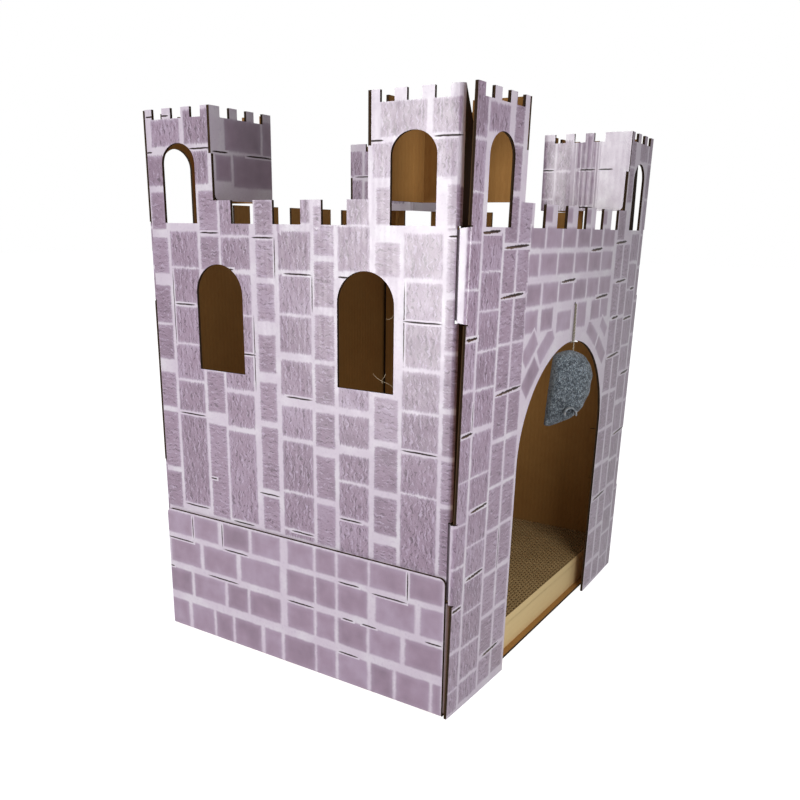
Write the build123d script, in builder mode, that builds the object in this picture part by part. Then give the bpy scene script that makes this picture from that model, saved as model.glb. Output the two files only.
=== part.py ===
from build123d import *
from math import atan2, cos, radians, sin
import os

# Flat-pack castle of printed corrugated board, in millimetres.
# Four walls with crenellated towers stand on a base sheet that holds a corrugated scratch pad,
# and a felt mouse hangs by a string in the doorway.
# The origin is the centre of the base sheet's underside, +Z is up and the doorway faces -Y.

# Board and fits
card = 3.0                  # thickness of the corrugated board
fold_radius = 4.0           # outside radius of a fold in the board
slip = 0.3                  # play between two cards that slide past each other
cut_over = 2.0              # how far a cutting shape runs past the face that it cuts

# Walls
body_width = 470.0          # over the outer faces of the two side walls
body_depth = 370.0          # from the front fold to the back fold of a side wall
tower_top = 570.0           # floor to the tip of a tower's merlons
parapet_top = 482.0         # floor to the tip of the wall's merlons
parapet_floor = 460.0       # floor to the bottom of the gaps between the wall's merlons
end_play = 1.0              # gap between a side wall's fold and the front or back wall, at the floor
end_lean = 10.5             # how far the top of the front or back wall stands outside its foot
end_bow = 5.0               # how far the front or back wall bows outwards between its side edges
back_bow = 12.0             # how far the back wall's middle stands out behind its edges

# Towers
tower_width = 92.0          # side of each square tower
merlon_count = 4            # merlons on one face of a tower
merlon_width = 12.0
merlon_height = 10.0
panel_merlon_width = 11.0   # merlons of the inner corner pieces
tower_window_width = 46.0
tower_window_height = 77.0
tower_window_rise = 20.0    # height of the arched part of a tower window

# Parapets between the towers
front_gap_count = 5
front_gap_width = 26.0
front_gap_pitch = 54.0
side_gap_width = 29.0
side_middle_gap = 34.0      # the gap at the middle of a side wall is wider
side_gap_pitch = 55.5

# Windows of the side walls
side_window_width = 63.0
side_window_sill = 311.5
side_window_height = 109.0
side_window_rise = 30.0
side_window_inset = 63.5    # from a fold to the nearer side of the window

# Doorway
door_width = 244.0
door_spring = 228.0         # floor to where the arch begins
door_crown = 343.0

# Flaps and tabs at the corners
flap_width = 20.0           # the side walls' glue flaps behind the front and back walls
flap_drop = 32.0            # slope at the top of a flap
tab_height = 80.0
tab_depth = 42.0
tab_taper = 6.0
tab_step_start = 2.2        # the tabs step in between the end wall's edge and the side wall's slot
tab_step_end = 2.2
tab_levels = (120.0, 380.0)  # floor to the lower edge of each tab

# Inner corner pieces of the towers
corner_round = 6.0          # rounded lower corners beside the walls

# Base sheet with its two printed side flaps
band_height = 145.0
band_setback = 2.0          # from a side wall's fold to the end of the flap
band_round = 6.0

# Scratch pad
pad_thickness = 38.0
pad_setback = 7.0           # from the base sheet's front edge to the pad
pad_play = 1.0
strip_pitch = 4.1           # one corrugated strip
strip_liner = 0.7
groove_depth = 1.2

# String and its hole
hole_radius = 2.0
hole_level = 383.0
string_radius = 0.8
loop_shift = -0.9           # the loop lies beside the strand that carries the toy
strand_shift = 1.3
strand_drop = 50.0          # hole to the top of the mouse
strand_seat = 5.0           # length of the strand inside the felt

# Felt mouse, hanging nose down; each row is a level below its tail, its belly, its back, half its thickness
mouse_turn = -60.0          # direction of the back, in degrees from +X about +Z
mouse_sections = (
    (0.0, -9.0, 3.0, 6.0),
    (5.0, -19.0, 11.5, 11.5),
    (14.0, -21.3, 19.5, 15.5),
    (28.0, -22.6, 22.3, 17.0),
    (45.0, -23.9, 20.8, 15.8),
    (60.0, -25.1, 15.0, 12.0),
    (73.0, -26.2, 4.5, 7.5),
    (82.0, -26.9, -13.0, 3.8),
    (85.0, -27.0, -20.5, 2.0),
)
mouse_facets = 12           # sides of each half-round section
ear_level = 67.0
ear_forward = -1.0          # from the tail's line towards the back
ear_radius = 6.5
ear_felt = 1.3
ear_length = 7.0
ear_sweep = 210.0
head_half = 14.0            # half the head's thickness where the ears start

# Places that follow from the sizes
left_face = -body_width / 2
front_fold = -body_depth / 2
back_fold = body_depth / 2
tower_inner_x = left_face + tower_width
tower_inner_y = back_fold - tower_width
shoulder = (tower_top + parapet_top) / 2
sheet_half = body_width / 2 + slip + card
tab_half = body_width / 2 - card - slip
notch = card + slip
lean_sin = sin(atan2(end_lean, tower_top))
lean_cos = cos(atan2(end_lean, tower_top))
outer_start = front_fold - end_play - card / lean_cos

# Outer faces of the walls: local x along the wall, local y up, local z outwards. The back wall is built
# where the front wall stands and mirrored.
front_face = Plane(origin=(0, outer_start, 0), x_dir=(1, 0, 0), z_dir=(0, -lean_cos, -lean_sin))
front_floor = Plane(origin=(0, outer_start, 0), x_dir=(1, 0, 0), z_dir=(0, -lean_sin, lean_cos))
back_start = front_fold - end_play - card
back_face = Plane(origin=(0, back_start, 0), x_dir=(1, 0, 0), z_dir=(0, -1, 0))
back_floor = Plane(origin=(0, back_start, 0), x_dir=(1, 0, 0), z_dir=(0, 0, 1))
side_face = Plane(origin=(left_face, 0, 0), x_dir=(0, -1, 0), z_dir=(-1, 0, 0))


def front_outer(level):
    """Y of the front wall's outer face at its middle, at a height above the floor."""
    return outer_start - end_bow - level * lean_sin / lean_cos


def merlon_gaps(start, end, count, width):
    """Centres and width of the gaps between equal merlons that fill a length."""
    pitch = (end - start - width) / (count - 1)
    return [start + width + (pitch - width) / 2 + i * pitch for i in range(count - 1)], pitch - width


def arched_outline(width, height, rise):
    """Upright opening with a flat sill at y = 0 and an elliptical head."""
    with BuildSketch() as outline:
        with BuildLine():
            foot_left = (-width / 2, 0)
            foot_right = (width / 2, 0)
            spring_right = (width / 2, height - rise)
            spring_left = (-width / 2, height - rise)
            Polyline(spring_left, foot_left, foot_right, spring_right)
            EllipticalCenterArc((0, height - rise), width / 2, rise, start_angle=0, arc_size=180)
        make_face()
    return outline.sketch


tower_window = arched_outline(tower_window_width, tower_window_height, tower_window_rise)
side_window = arched_outline(side_window_width, side_window_height, side_window_rise)
doorway = arched_outline(door_width, door_crown, door_crown - door_spring)


def cut_parapet(inner, gap_centres, gap_widths):
    """Cut away the sheet between the towers, and the gaps between the wall's merlons."""
    with Locations((0, (parapet_top + tower_top + cut_over) / 2)):
        Rectangle(2 * inner, tower_top + cut_over - parapet_top)
    for centre, width in zip(gap_centres, gap_widths):
        with Locations((centre, (parapet_floor + parapet_top) / 2)):
            Rectangle(width, parapet_top - parapet_floor)


def cut_tower(outer, inner):
    """Cut the merlon gaps, the window and the upper notch of the tower on each end of a wall."""
    centres, gap = merlon_gaps(inner, outer, merlon_count, merlon_width)
    for side in (-1, 1):
        for centre in centres:
            with Locations((side * centre, tower_top + (cut_over - merlon_height) / 2)):
                Rectangle(gap, merlon_height + cut_over)
        with Locations((side * (outer + inner) / 2, parapet_floor)):
            add(tower_window)
        with Locations((side * (inner + notch / 2), (shoulder + tower_top + cut_over) / 2)):
            Rectangle(notch, tower_top + cut_over - shoulder)


def fold_tab(level, face, edge):
    """Tab at the right edge of an end wall. It folds back, steps in through the side wall's slot where the
    sheet is wider than the body, and lies against the inside of the side wall."""
    foot = face.from_local_coords((0, level, 0))
    head = face.from_local_coords((0, level + tab_height, 0))
    with BuildPart() as tab:
        with BuildSketch(Plane.XY.offset(level - tab_taper)):
            with BuildLine():
                tab_run = Polyline(
                    (edge, face.from_local_coords((0, tower_top, 0)).Y),
                    (edge, front_fold - tab_step_start),
                    (tab_half, front_fold + tab_step_end),
                    (tab_half, foot.Y + tab_depth),
                )
                offset(tab_run, amount=card, side=Side.LEFT)
            make_face()
        extrude(amount=tab_height + 2 * tab_taper)
        with BuildSketch(Plane.YZ.offset(tab_half - 2 * card)):
            with BuildLine():
                Polyline(
                    (foot.Y, foot.Z),
                    (foot.Y + tab_depth, foot.Z + tab_taper),
                    (foot.Y + tab_depth, head.Z - tab_taper),
                    (head.Y, head.Z),
                    close=True,
                )
            make_face()
        extrude(amount=edge - tab_half + 4 * card, mode=Mode.INTERSECT)
    return tab.part


# End walls
end_gap_row = [(i - (front_gap_count - 1) / 2) * front_gap_pitch for i in range(front_gap_count)]


def end_sheet(face, floor, half, bow_depth):
    """Bowed sheet with towers at both ends and two folded tabs on each edge."""
    with BuildPart() as right_tabs:
        for level in tab_levels:
            add(fold_tab(level, face, half))
    with BuildPart() as sheet:
        with BuildSketch(floor):
            with BuildLine():
                bow = ThreePointArc((-half, 0), (0, -bow_depth), (half, 0))
                offset(bow, amount=card, side=Side.LEFT)
            make_face()
        extrude(amount=tower_top)
        split(bisect_by=Plane.XY, keep=Keep.TOP)
        with BuildSketch(face.offset(bow_depth + cut_over)):
            cut_parapet(-tower_inner_x, end_gap_row, [front_gap_width] * front_gap_count)
            cut_tower(half, -tower_inner_x)
        extrude(amount=-(bow_depth + card + 2 * cut_over), mode=Mode.SUBTRACT)
        add(right_tabs.part)
        mirror(right_tabs.part, about=Plane.YZ)
    return sheet.part


with BuildPart() as front_wall:
    add(end_sheet(front_face, front_floor, sheet_half, end_bow))
    with BuildSketch(front_face.offset(end_bow + cut_over)):
        add(doorway)
        with Locations((0, hole_level)):
            Circle(hole_radius)
    extrude(amount=-(end_bow + card + 2 * cut_over), mode=Mode.SUBTRACT)
front_wall.part.label = "front_wall"

with BuildPart() as back_wall:
    mirror(end_sheet(back_face, back_floor, tab_half, back_bow), about=Plane.XZ)
back_wall.part.label = "back_wall"

# Side walls: a sheet with a glue flap folded in at its front and back
side_gap_row = (-side_gap_pitch, 0, side_gap_pitch)
side_gap_widths = (side_gap_width, side_middle_gap, side_gap_width)
side_window_centre = body_depth / 2 - side_window_inset - side_window_width / 2

with BuildPart() as left_wall:
    with BuildSketch(Plane.XY.offset(card)):
        with BuildLine():
            fold_line = FilletPolyline(
                (left_face + flap_width, front_fold),
                (left_face, front_fold),
                (left_face, back_fold),
                (left_face + flap_width, back_fold),
                radius=fold_radius,
            )
            offset(fold_line, amount=card, side=Side.RIGHT)
        make_face()
    extrude(amount=tower_top - card)
    with BuildSketch(side_face):
        cut_parapet(tower_inner_y, side_gap_row, side_gap_widths)
        cut_tower(back_fold, tower_inner_y)
        with Locations((-side_window_centre, side_window_sill), (side_window_centre, side_window_sill)):
            add(side_window)
    extrude(amount=-(card + cut_over), mode=Mode.SUBTRACT)
    with BuildSketch(Plane.XZ.offset(body_depth / 2 + cut_over)):
        with BuildLine():
            Polyline(
                (left_face + fold_radius, tower_top + cut_over),
                (left_face + fold_radius, tower_top),
                (left_face + flap_width, tower_top - flap_drop),
                (left_face + flap_width + cut_over, tower_top + cut_over),
                close=True,
            )
        make_face()
    extrude(amount=-(body_depth + 2 * cut_over), mode=Mode.SUBTRACT)
    for level in tab_levels:
        slot_low = level - slip
        slot_high = level + tab_height + slip
        with BuildSketch(Plane.XY.offset(slot_low)):
            for end in (front_fold, back_fold):
                with Locations((left_face + card, end)):
                    Rectangle(2 * (card + 2 * slip), 2 * (card + slip))
        extrude(amount=slot_high - slot_low, mode=Mode.SUBTRACT)
left_wall.part.label = "left_wall"

with BuildPart() as right_wall:
    mirror(left_wall.part, about=Plane.YZ)
right_wall.part.label = "right_wall"


# Inner corner pieces: two panels that close a tower above the parapet
panel_centres, panel_gap = merlon_gaps(notch, tower_width - fold_radius, merlon_count, panel_merlon_width)


def corner_piece(end_face):
    """Front left piece; its ends drop into the notches of the side wall and the end wall, whose outer
    face at the notch is given."""
    with BuildPart() as corner:
        with BuildSketch(Plane.XY.offset(parapet_top)):
            with BuildLine():
                bend = FilletPolyline(
                    (left_face, -tower_inner_y),
                    (tower_inner_x, -tower_inner_y),
                    (tower_inner_x, front_fold - end_lean - end_bow - back_bow - end_play - 3 * card),
                    radius=fold_radius,
                )
                offset(bend, amount=card, side=Side.RIGHT)
            make_face()
        extrude(amount=tower_top - parapet_top)
        with BuildSketch(Plane.XY.offset(tower_top - merlon_height)):
            for centre in panel_centres:
                with Locations((left_face + centre, -tower_inner_y)):
                    Rectangle(panel_gap, 2 * notch)
                with Locations((tower_inner_x, front_fold + centre)):
                    Rectangle(2 * notch, panel_gap)
        extrude(amount=merlon_height + cut_over, mode=Mode.SUBTRACT)
        with BuildSketch(side_face.offset(cut_over)):
            with Locations((tower_inner_y, (parapet_top + shoulder) / 2)):
                Rectangle(4 * card, shoulder - parapet_top)
        extrude(amount=-(cut_over + notch), mode=Mode.SUBTRACT)
        with BuildSketch(end_face):
            with Locations((tower_inner_x, shoulder)):
                Rectangle(4 * card, 2 * tower_width)
        extrude(amount=tower_width, mode=Mode.SUBTRACT)
        with BuildSketch(end_face.offset(-notch)):
            with Locations((tower_inner_x, shoulder - tower_width / 2)):
                Rectangle(4 * card, tower_width)
        extrude(amount=tower_width, mode=Mode.SUBTRACT)
        low_corners = corner.edges().filter_by(Axis.X).group_by(Axis.Z)[0].group_by(Axis.Y)
        fillet(low_corners[0], radius=corner_round)
        low_side = corner.edges().filter_by(Axis.Y).group_by(Axis.Z)[0].sort_by(Axis.X)[0]
        fillet(low_side, radius=corner_round)
    return corner.part


with BuildPart() as tower_corner_front_left:
    add(corner_piece(front_face.offset(end_bow * (1 - (tower_inner_x / sheet_half) ** 2))))
tower_corner_front_left.part.label = "tower_corner_front_left"

with BuildPart() as tower_corner_front_right:
    mirror(tower_corner_front_left.part, about=Plane.YZ)
tower_corner_front_right.part.label = "tower_corner_front_right"

with BuildPart() as tower_corner_back_left:
    mirror(corner_piece(back_face.offset(back_bow * (1 - (tower_inner_x / tab_half) ** 2))), about=Plane.XZ)
tower_corner_back_left.part.label = "tower_corner_back_left"

with BuildPart() as tower_corner_back_right:
    mirror(tower_corner_back_left.part, about=Plane.YZ)
tower_corner_back_right.part.label = "tower_corner_back_right"

# Base sheet: its sides fold up outside the side walls
base_side = body_width / 2 + slip + card
base_front = front_fold + band_setback
base_length = body_depth - 2 * band_setback

with BuildPart() as base_tray:
    with BuildSketch(Plane.XZ.offset(-base_front)):
        with BuildLine():
            tray_line = FilletPolyline(
                (-base_side, band_height),
                (-base_side, 0),
                (base_side, 0),
                (base_side, band_height),
                radius=card + slip,
            )
            offset(tray_line, amount=card, side=Side.LEFT)
        make_face()
    extrude(amount=-base_length)
    band_corners = base_tray.edges().filter_by(Axis.X).group_by(Axis.Z)[-1]
    fillet(band_corners, radius=band_round)
base_tray.part.label = "base_tray"

# Scratch pad: strips of board on edge, glued side by side, with their flutes upright
pad_front = base_front + pad_setback
pad_back = back_fold - card - pad_play
pad_half = body_width / 2 - card - pad_play
pad_top = card + pad_thickness
strip_count = int((pad_back - pad_front - strip_liner) // strip_pitch)
pad_length = strip_count * strip_pitch + strip_liner

with BuildPart() as scratch_pad:
    with BuildSketch(Plane.YZ.offset(-pad_half)):
        with Locations((pad_front + pad_length / 2, card + pad_thickness / 2)):
            Rectangle(pad_length, pad_thickness)
        for i in range(strip_count):
            flute_middle = pad_front + strip_liner + (strip_pitch - strip_liner) / 2 + i * strip_pitch
            with Locations((flute_middle, pad_top)):
                Rectangle(strip_pitch - strip_liner, 2 * groove_depth, mode=Mode.SUBTRACT)
    extrude(amount=2 * pad_half)
scratch_pad.part.label = "scratch_pad"

# String: a loop tied through the hole and round the crown of the doorway, and the strand of the toy
loop_clear = string_radius + slip
loop_low = door_crown - loop_clear
loop_inner = front_face.offset(end_bow - card - loop_clear)
loop_outer = front_face.offset(end_bow + loop_clear)
loop_corners = [
    loop_outer.from_local_coords((loop_shift, loop_low, 0)),
    loop_outer.from_local_coords((loop_shift, hole_level, 0)),
    loop_inner.from_local_coords((loop_shift, hole_level, 0)),
    loop_inner.from_local_coords((loop_shift, loop_low, 0)),
]

with BuildPart() as string_loop:
    with BuildLine():
        loop_path = Polyline(*loop_corners, close=True)
    with BuildSketch(Plane(loop_path @ 0, z_dir=loop_path % 0)):
        Circle(string_radius)
    sweep(path=loop_path, transition=Transition.RIGHT)
string_loop.part.label = "string_loop"

strand_y = front_outer(hole_level) - loop_clear
tail_level = hole_level - strand_drop

with BuildPart() as toy_string:
    with BuildSketch(Plane((strand_shift, strand_y, tail_level - strand_seat))):
        Circle(string_radius)
    extrude(amount=strand_drop + strand_seat)
toy_string.part.label = "toy_string"

# Felt mouse: half-round sections with a flat belly, from the tail down to the nose
tail_point = (strand_shift, strand_y, tail_level)
mouse_frame = Plane(tail_point).rotated((0, 0, mouse_turn))
mouse_corners = []
for level, belly, back, half in mouse_sections:
    for i in range(mouse_facets + 1):
        turn = radians(180 * i / mouse_facets - 90)
        corner = (belly + (back - belly) * cos(turn), half * sin(turn), -level)
        mouse_corners.append(mouse_frame.from_local_coords(corner))

with BuildPart() as mouse_body:
    ConvexPolyhedron(mouse_corners)
    with BuildSketch(Plane((strand_shift, strand_y, tail_level - strand_seat))):
        Circle(string_radius)
    extrude(amount=2 * strand_seat, mode=Mode.SUBTRACT)
mouse_body.part.label = "mouse_body"


def felt_ear(side):
    """Ear: a strip of felt curled into an arch that stands out from one side of the head."""
    start = (180 - ear_sweep) / 2
    ear_plane = Plane(
        origin=mouse_frame.from_local_coords((ear_forward, 0, -ear_level)),
        x_dir=mouse_frame.x_dir,
        z_dir=-mouse_frame.y_dir,
    )
    with BuildPart() as ear:
        with BuildSketch(ear_plane):
            with BuildLine():
                ear_arc = CenterArc((0, 0), ear_radius, start, ear_sweep)
                offset(ear_arc, amount=ear_felt, side=Side.LEFT)
            make_face()
        extrude(amount=-side * (head_half + ear_length))
        add(mouse_body.part, mode=Mode.SUBTRACT)
    return ear.part.solids().sort_by(lambda piece: -piece.volume)[0]


mouse_ear_left = felt_ear(-1)
mouse_ear_left.label = "mouse_ear_left"
mouse_ear_right = felt_ear(1)
mouse_ear_right.label = "mouse_ear_right"

pieces = [
    front_wall.part,
    back_wall.part,
    left_wall.part,
    right_wall.part,
    tower_corner_front_left.part,
    tower_corner_front_right.part,
    tower_corner_back_left.part,
    tower_corner_back_right.part,
    base_tray.part,
    scratch_pad.part,
    string_loop.part,
    toy_string.part,
    mouse_body.part,
    mouse_ear_left,
    mouse_ear_right,
]

os.makedirs("parts", exist_ok=True)
for piece in pieces:
    export_step(piece, f"parts/{piece.label}.step")
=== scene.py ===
import math

import bmesh
import bpy
import numpy as np
from mathutils import Matrix, Vector
from mathutils.geometry import delaunay_2d_cdt


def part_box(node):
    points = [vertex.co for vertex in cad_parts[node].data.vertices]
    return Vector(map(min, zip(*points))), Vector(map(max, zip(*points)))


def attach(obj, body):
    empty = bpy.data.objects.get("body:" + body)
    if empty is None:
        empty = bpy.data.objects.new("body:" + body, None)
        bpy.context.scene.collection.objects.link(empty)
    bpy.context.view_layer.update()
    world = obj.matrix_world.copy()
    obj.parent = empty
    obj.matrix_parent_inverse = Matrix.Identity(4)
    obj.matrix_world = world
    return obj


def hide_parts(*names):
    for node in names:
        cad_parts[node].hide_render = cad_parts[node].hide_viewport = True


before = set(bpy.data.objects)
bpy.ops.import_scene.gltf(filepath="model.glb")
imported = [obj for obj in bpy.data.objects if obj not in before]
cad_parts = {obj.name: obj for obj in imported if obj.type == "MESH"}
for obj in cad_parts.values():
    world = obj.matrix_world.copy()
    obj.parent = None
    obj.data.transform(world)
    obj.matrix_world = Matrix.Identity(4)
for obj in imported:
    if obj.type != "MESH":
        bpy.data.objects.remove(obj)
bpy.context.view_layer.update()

bl_info = {
    "name": "Cardboard castle",
    "version": (1, 0, 0),
    "blender": (4, 5, 0),
    "location": "3D View > Sidebar > Castle",
    "description": "Dresses a flat-pack castle in printed board, with its scratch pad and felt mouse",
    "category": "Object",
}

# Flat sheets are laid out in millimetres and placed in metres.
MM = 0.001


def node_box(node):
    """Lowest and highest corner of a CAD node, in millimetres."""
    low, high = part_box(node)
    return np.array(low) / MM, np.array(high) / MM


# Places read from the frame
SIDE_LOW, SIDE_HIGH = node_box("left_wall")
CORNER_LOW, CORNER_HIGH = node_box("tower_corner_front_left")
TRAY_LOW, TRAY_HIGH = node_box("base_tray")
PAD_LOW, PAD_HIGH = node_box("scratch_pad")
SIDE_HALF = -SIDE_LOW[0]
SHEET_HALF = node_box("front_wall")[1][0]
TOWER_TOP = SIDE_HIGH[2]
PARAPET_TOP = CORNER_LOW[2]
SHOULDER = (TOWER_TOP + PARAPET_TOP) / 2
BODY_DEPTH = SIDE_HIGH[1] - SIDE_LOW[1]
TOWER_WIDTH = CORNER_HIGH[0] - CORNER_LOW[0]
FLAP_WIDTH = SIDE_HIGH[0] - SIDE_LOW[0]
BAND_HEIGHT = TRAY_HIGH[2]

# Sizes of the cut-outs and folds, as in the model
CARD = 3.0
SLIP = 0.3
NOTCH = CARD + SLIP
FOLD_RADIUS = 4.0
CORNER_ROUND = 6.0
# Lean of the front wall at its top, and for each millimetre of height
FRONT_LEAN = 10.5
FRONT_SLOPE = FRONT_LEAN / TOWER_TOP
FRONT_BOW = 5.0
BACK_BOW = 12.0
WALL_CLEAR = 1.0 + CARD
FRONT_FOOT = SIDE_LOW[1] - WALL_CLEAR
PARAPET_FLOOR = 460.0
MERLON_HEIGHT = 10.0
MERLON_COUNT = 4
WALL_MERLON = 12.0
PANEL_MERLON = 11.0
# Width, height and rise of the head
TOWER_WINDOW = (46.0, 77.0, 20.0)
SIDE_WINDOW = (63.0, 109.0, 30.0)
DOORWAY = (244.0, 343.0, 115.0)
SIDE_WINDOW_SILL = 311.5
SIDE_WINDOW_INSET = 63.5
# Middle and width of each gap in a parapet
FRONT_GAPS = tuple((54.0 * i, 26.0) for i in (-2, -1, 0, 1, 2))
SIDE_GAPS = ((-55.5, 29.0), (0.0, 34.0), (55.5, 29.0))
FLAP_DROP = 32.0
TAB_LEVELS = (120.0, 380.0)
TAB_HEIGHT = 80.0
TAB_DEPTH = 42.0
TAB_TAPER = 6.0
TAB_HALF = SIDE_HALF - NOTCH
# Depth outside the side wall's fold at which a tab's step starts and ends
TAB_STEP = (2.2, -2.2)
SLOT_HALF = 4.0
SLIT = 1.0
HOLE_LEVEL = 383.0
HOLE_RADIUS = 2.0
FLUTE_PITCH = 6.3
PAD_STRIP = 4.1
PAD_FLUTE = 7.7
# Half width, fold radius, bow and slope of the end walls, by the sign of their end
END_SHAPES = {
    -1: (SHEET_HALF, 3.0, FRONT_BOW, FRONT_SLOPE),
    1: (TAB_HALF, 1.5, BACK_BOW, 0.0),
}
# How far the print goes round a side wall's fold
FOLD_PRINT = 2.5
# Wrinkles of the front right corner piece, at distances past its bend
WRINKLE_START = 38.0
WRINKLE_END = 74.0
WRINKLE_FADES = (8.0, 14.0)
WRINKLE_LEAST = 0.03
WRINKLE_DEPTH = 2.0
WRINKLE_PITCH = 6.6
WRINKLE_STEP = 1.2

# Bricks of the print: columns as (left, right, finish, ((bottom, top), ...)), in millimetres.
# On the left wall the distance runs from the back fold to the front fold.
ROUGH, STREAKED, SMOOTH, CRACK = range(4)

SIDE_COLUMNS = (
    (-1, 25, STREAKED, ((149, 190), (196, 259), (265, 303), (318, 354), (357, 396), (409, 445))),
    (29, 68, ROUGH, ((158, 258), (264, 295), (299, 335), (338, 375), (380, 414), (417, 451))),
    (72, 97, STREAKED, ((149, 253), (267, 310), (415, 447), (452, 491))),
    (100, 138, ROUGH, ((152, 249), (256, 290), (296, 331), (335, 370), (373, 411), (417, 446), (450, 484))),
    (146, 168, STREAKED, ((149, 185), (194, 260), (267, 306), (317, 354), (368, 404), (410, 445),
                          (450, 482))),
    (174, 213, ROUGH, ((148, 153), (157, 194), (198, 249), (255, 285), (297, 331), (340, 374), (378, 413),
                       (419, 453))),
    (217, 240, STREAKED, ((147, 190), (197, 240), (250, 284), (293, 331), (336, 378), (386, 427),
                          (433, 459))),
    (245, 280, ROUGH, ((146, 178), (183, 217), (221, 246), (256, 285), (293, 311), (420, 458))),
    (286, 312, STREAKED, ((146, 163), (174, 211), (218, 260), (267, 307), (417, 445))),
    (316, 355, ROUGH, ((146, 218), (221, 257), (263, 296), (300, 334), (339, 377), (381, 412), (417, 453))),
    (359, 374, STREAKED, ((147, 212), (217, 257), (262, 300), (306, 352), (356, 400), (406, 452),
                          (457, 491))),
    # Back tower
    (10, 50, ROUGH, ((535, 559),)),
    (56, 89, ROUGH, ((536, 566),)),
    (1, 26, ROUGH, ((497, 525),)),
    (66, 87, ROUGH, ((498, 528),)),
    (4, 24, STREAKED, ((454, 490),)),
    # Merlons of the parapet
    (173, 176, SMOOTH, ((452, 482),)),
    (200, 213, ROUGH, ((462, 482),)),
    (217, 226, STREAKED, ((458, 476),)),
    (255, 279, ROUGH, ((461, 482),)),
    # Front tower
    (291, 336, ROUGH, ((533, 559),)),
    (342, 369, ROUGH, ((534, 559),)),
    (283, 304, ROUGH, ((500, 527),)),
    (343, 366, ROUGH, ((500, 528),)),
    (287, 303, STREAKED, ((461, 491),)),
    (358, 370, STREAKED, ((461, 493),)),
)
SIDE_CRACKS = (
    (29, 68, 260.5), (71, 80, 192), (72, 98, 451), (100, 116, 416), (141, 169, 447.5), (141, 169, 188),
    (124, 142, 332.7), (180, 214, 414.6), (180, 213, 295), (183, 213, 154), (245, 272, 180), (245, 258, 414),
    (316, 355, 260.5), (316, 356, 378.5), (31, 60, 378), (62, 92, 531), (1, 10, 529), (278, 294, 529.5),
    (343, 371, 531), (360, 371, 452), (29, 66, 155), (102, 133, 148.5), (3, 15, 563), (25, 36, 563),
)
SIDE_UPRIGHT_CRACKS = (
    (169.5, 410, 448), (29.5, 335, 412), (140.5, 296, 372), (214.5, 380, 414), (317, 340, 412),
)

# The base sheet's side flap: rows as (bottom, top, ((left, right), ...)), seen as on the left wall
BAND_ROWS = (
    (117, 143, ((0, 40), (44, 80), (88, 125), (130, 169), (180, 213), (217, 241), (245, 281), (284, 327),
                (330, 366))),
    (81, 111, ((5, 51), (57, 106), (113, 168), (178, 214), (217, 241), (245, 281), (291, 336), (343, 367))),
    (44, 73, ((0, 35), (40, 87), (92, 121), (125, 168), (178, 213), (217, 240), (245, 280), (284, 320),
              (326, 367))),
    (1, 34, ((0, 28), (34, 68), (72, 97), (101, 139), (145, 168), (173, 214), (217, 241), (245, 281),
             (286, 312), (316, 354), (358, 367))),
)
BAND_CRACKS = (
    (0, 42, 110.5), (88, 124, 113), (245, 271, 113), (286, 327, 110.5), (62, 109, 76), (178, 214, 75.5),
    (250, 264, 74), (274, 292, 74), (348, 367, 76), (0, 8, 74.5), (245, 270, 35),
)
BAND_UPRIGHT_CRACKS = ((41.5, 116, 142), (86.5, 115, 142), (327.5, 113, 143))

# Front wall: the distance runs across its face from the middle, to the right
FRONT_COLUMNS = (
    (-240, -220.5, ROUGH, ((4, 26), (29, 67), (72, 112), (115, 154), (158, 196), (199, 238), (240, 279),
                           (282, 320), (324, 364), (369, 407), (410, 446), (449, 486), (488, 526),
                           (530, 575))),
    (-217, -182, ROUGH, ((7, 28), (33, 65), (69, 101), (104, 136), (141, 170), (173, 204), (208, 238),
                         (241, 280), (287, 319), (322, 353), (356, 388), (391, 422), (424, 454),
                         (536, 557))),
    (-172, -154.5, STREAKED, ((491, 528), (530, 575))),
    (-178.5, -154.5, STREAKED, ((9, 36), (42, 81), (86, 127), (132, 173), (177, 218), (222, 263), (268, 309),
                                (314, 355), (358, 397), (400, 442), (447, 486))),
    (-150.5, -126, STREAKED, ((10, 37), (43, 82), (87, 127), (133, 174), (178, 218), (222, 263), (269, 309),
                              (314, 355), (358, 398), (401, 442), (447, 482))),
    (147, 165, STREAKED, ((492, 530), (533, 575))),
    (124, 150.5, STREAKED, ((5, 33), (39, 78), (84, 122), (130, 168), (174, 215), (219, 262), (267, 309),
                            (313, 354), (359, 398), (404, 443), (449, 482))),
    (156, 180, STREAKED, ((4, 32), (38, 77), (83, 122), (130, 167), (173, 214), (219, 261), (266, 308),
                          (313, 354), (359, 397), (403, 443))),
    (184.5, 218, ROUGH, ((2, 24), (27, 57), (62, 94), (98, 126), (132, 163), (168, 198), (203, 239),
                         (247, 278), (285, 315), (319, 349), (355, 386), (390, 419), (424, 455),
                         (541, 575))),
    (223, 240, ROUGH, ((0, 29), (29, 67), (73, 113), (117, 154), (160, 195), (198, 238), (243, 283),
                       (286, 326), (331, 370), (374, 412), (417, 453), (457, 495), (499, 538),
                       (541, 572))),
)
FRONT_ROWS = (
    (442, 461, ((-126, -93), (-89, -52), (-48, -13), (-7, 29), (33, 68), (74, 113))),
    (416, 436, ((-126, -104), (-99, -60), (-56, -15), (-10, 26), (31, 69), (74, 111))),
    (388, 408, ((-126, -94), (-89, -52), (-48, -12), (-7, 29), (33, 69), (74, 113))),
    (362, 383, ((-126, -97), (-89, -60), (52, 81), (85, 111))),
    (357, 377, ((-48, -10),)),
    (357, 383, ((9, 36),)),
    (466, 480, ((-98, -79), (-44, -27), (8, 26), (63, 79))),
)
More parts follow.
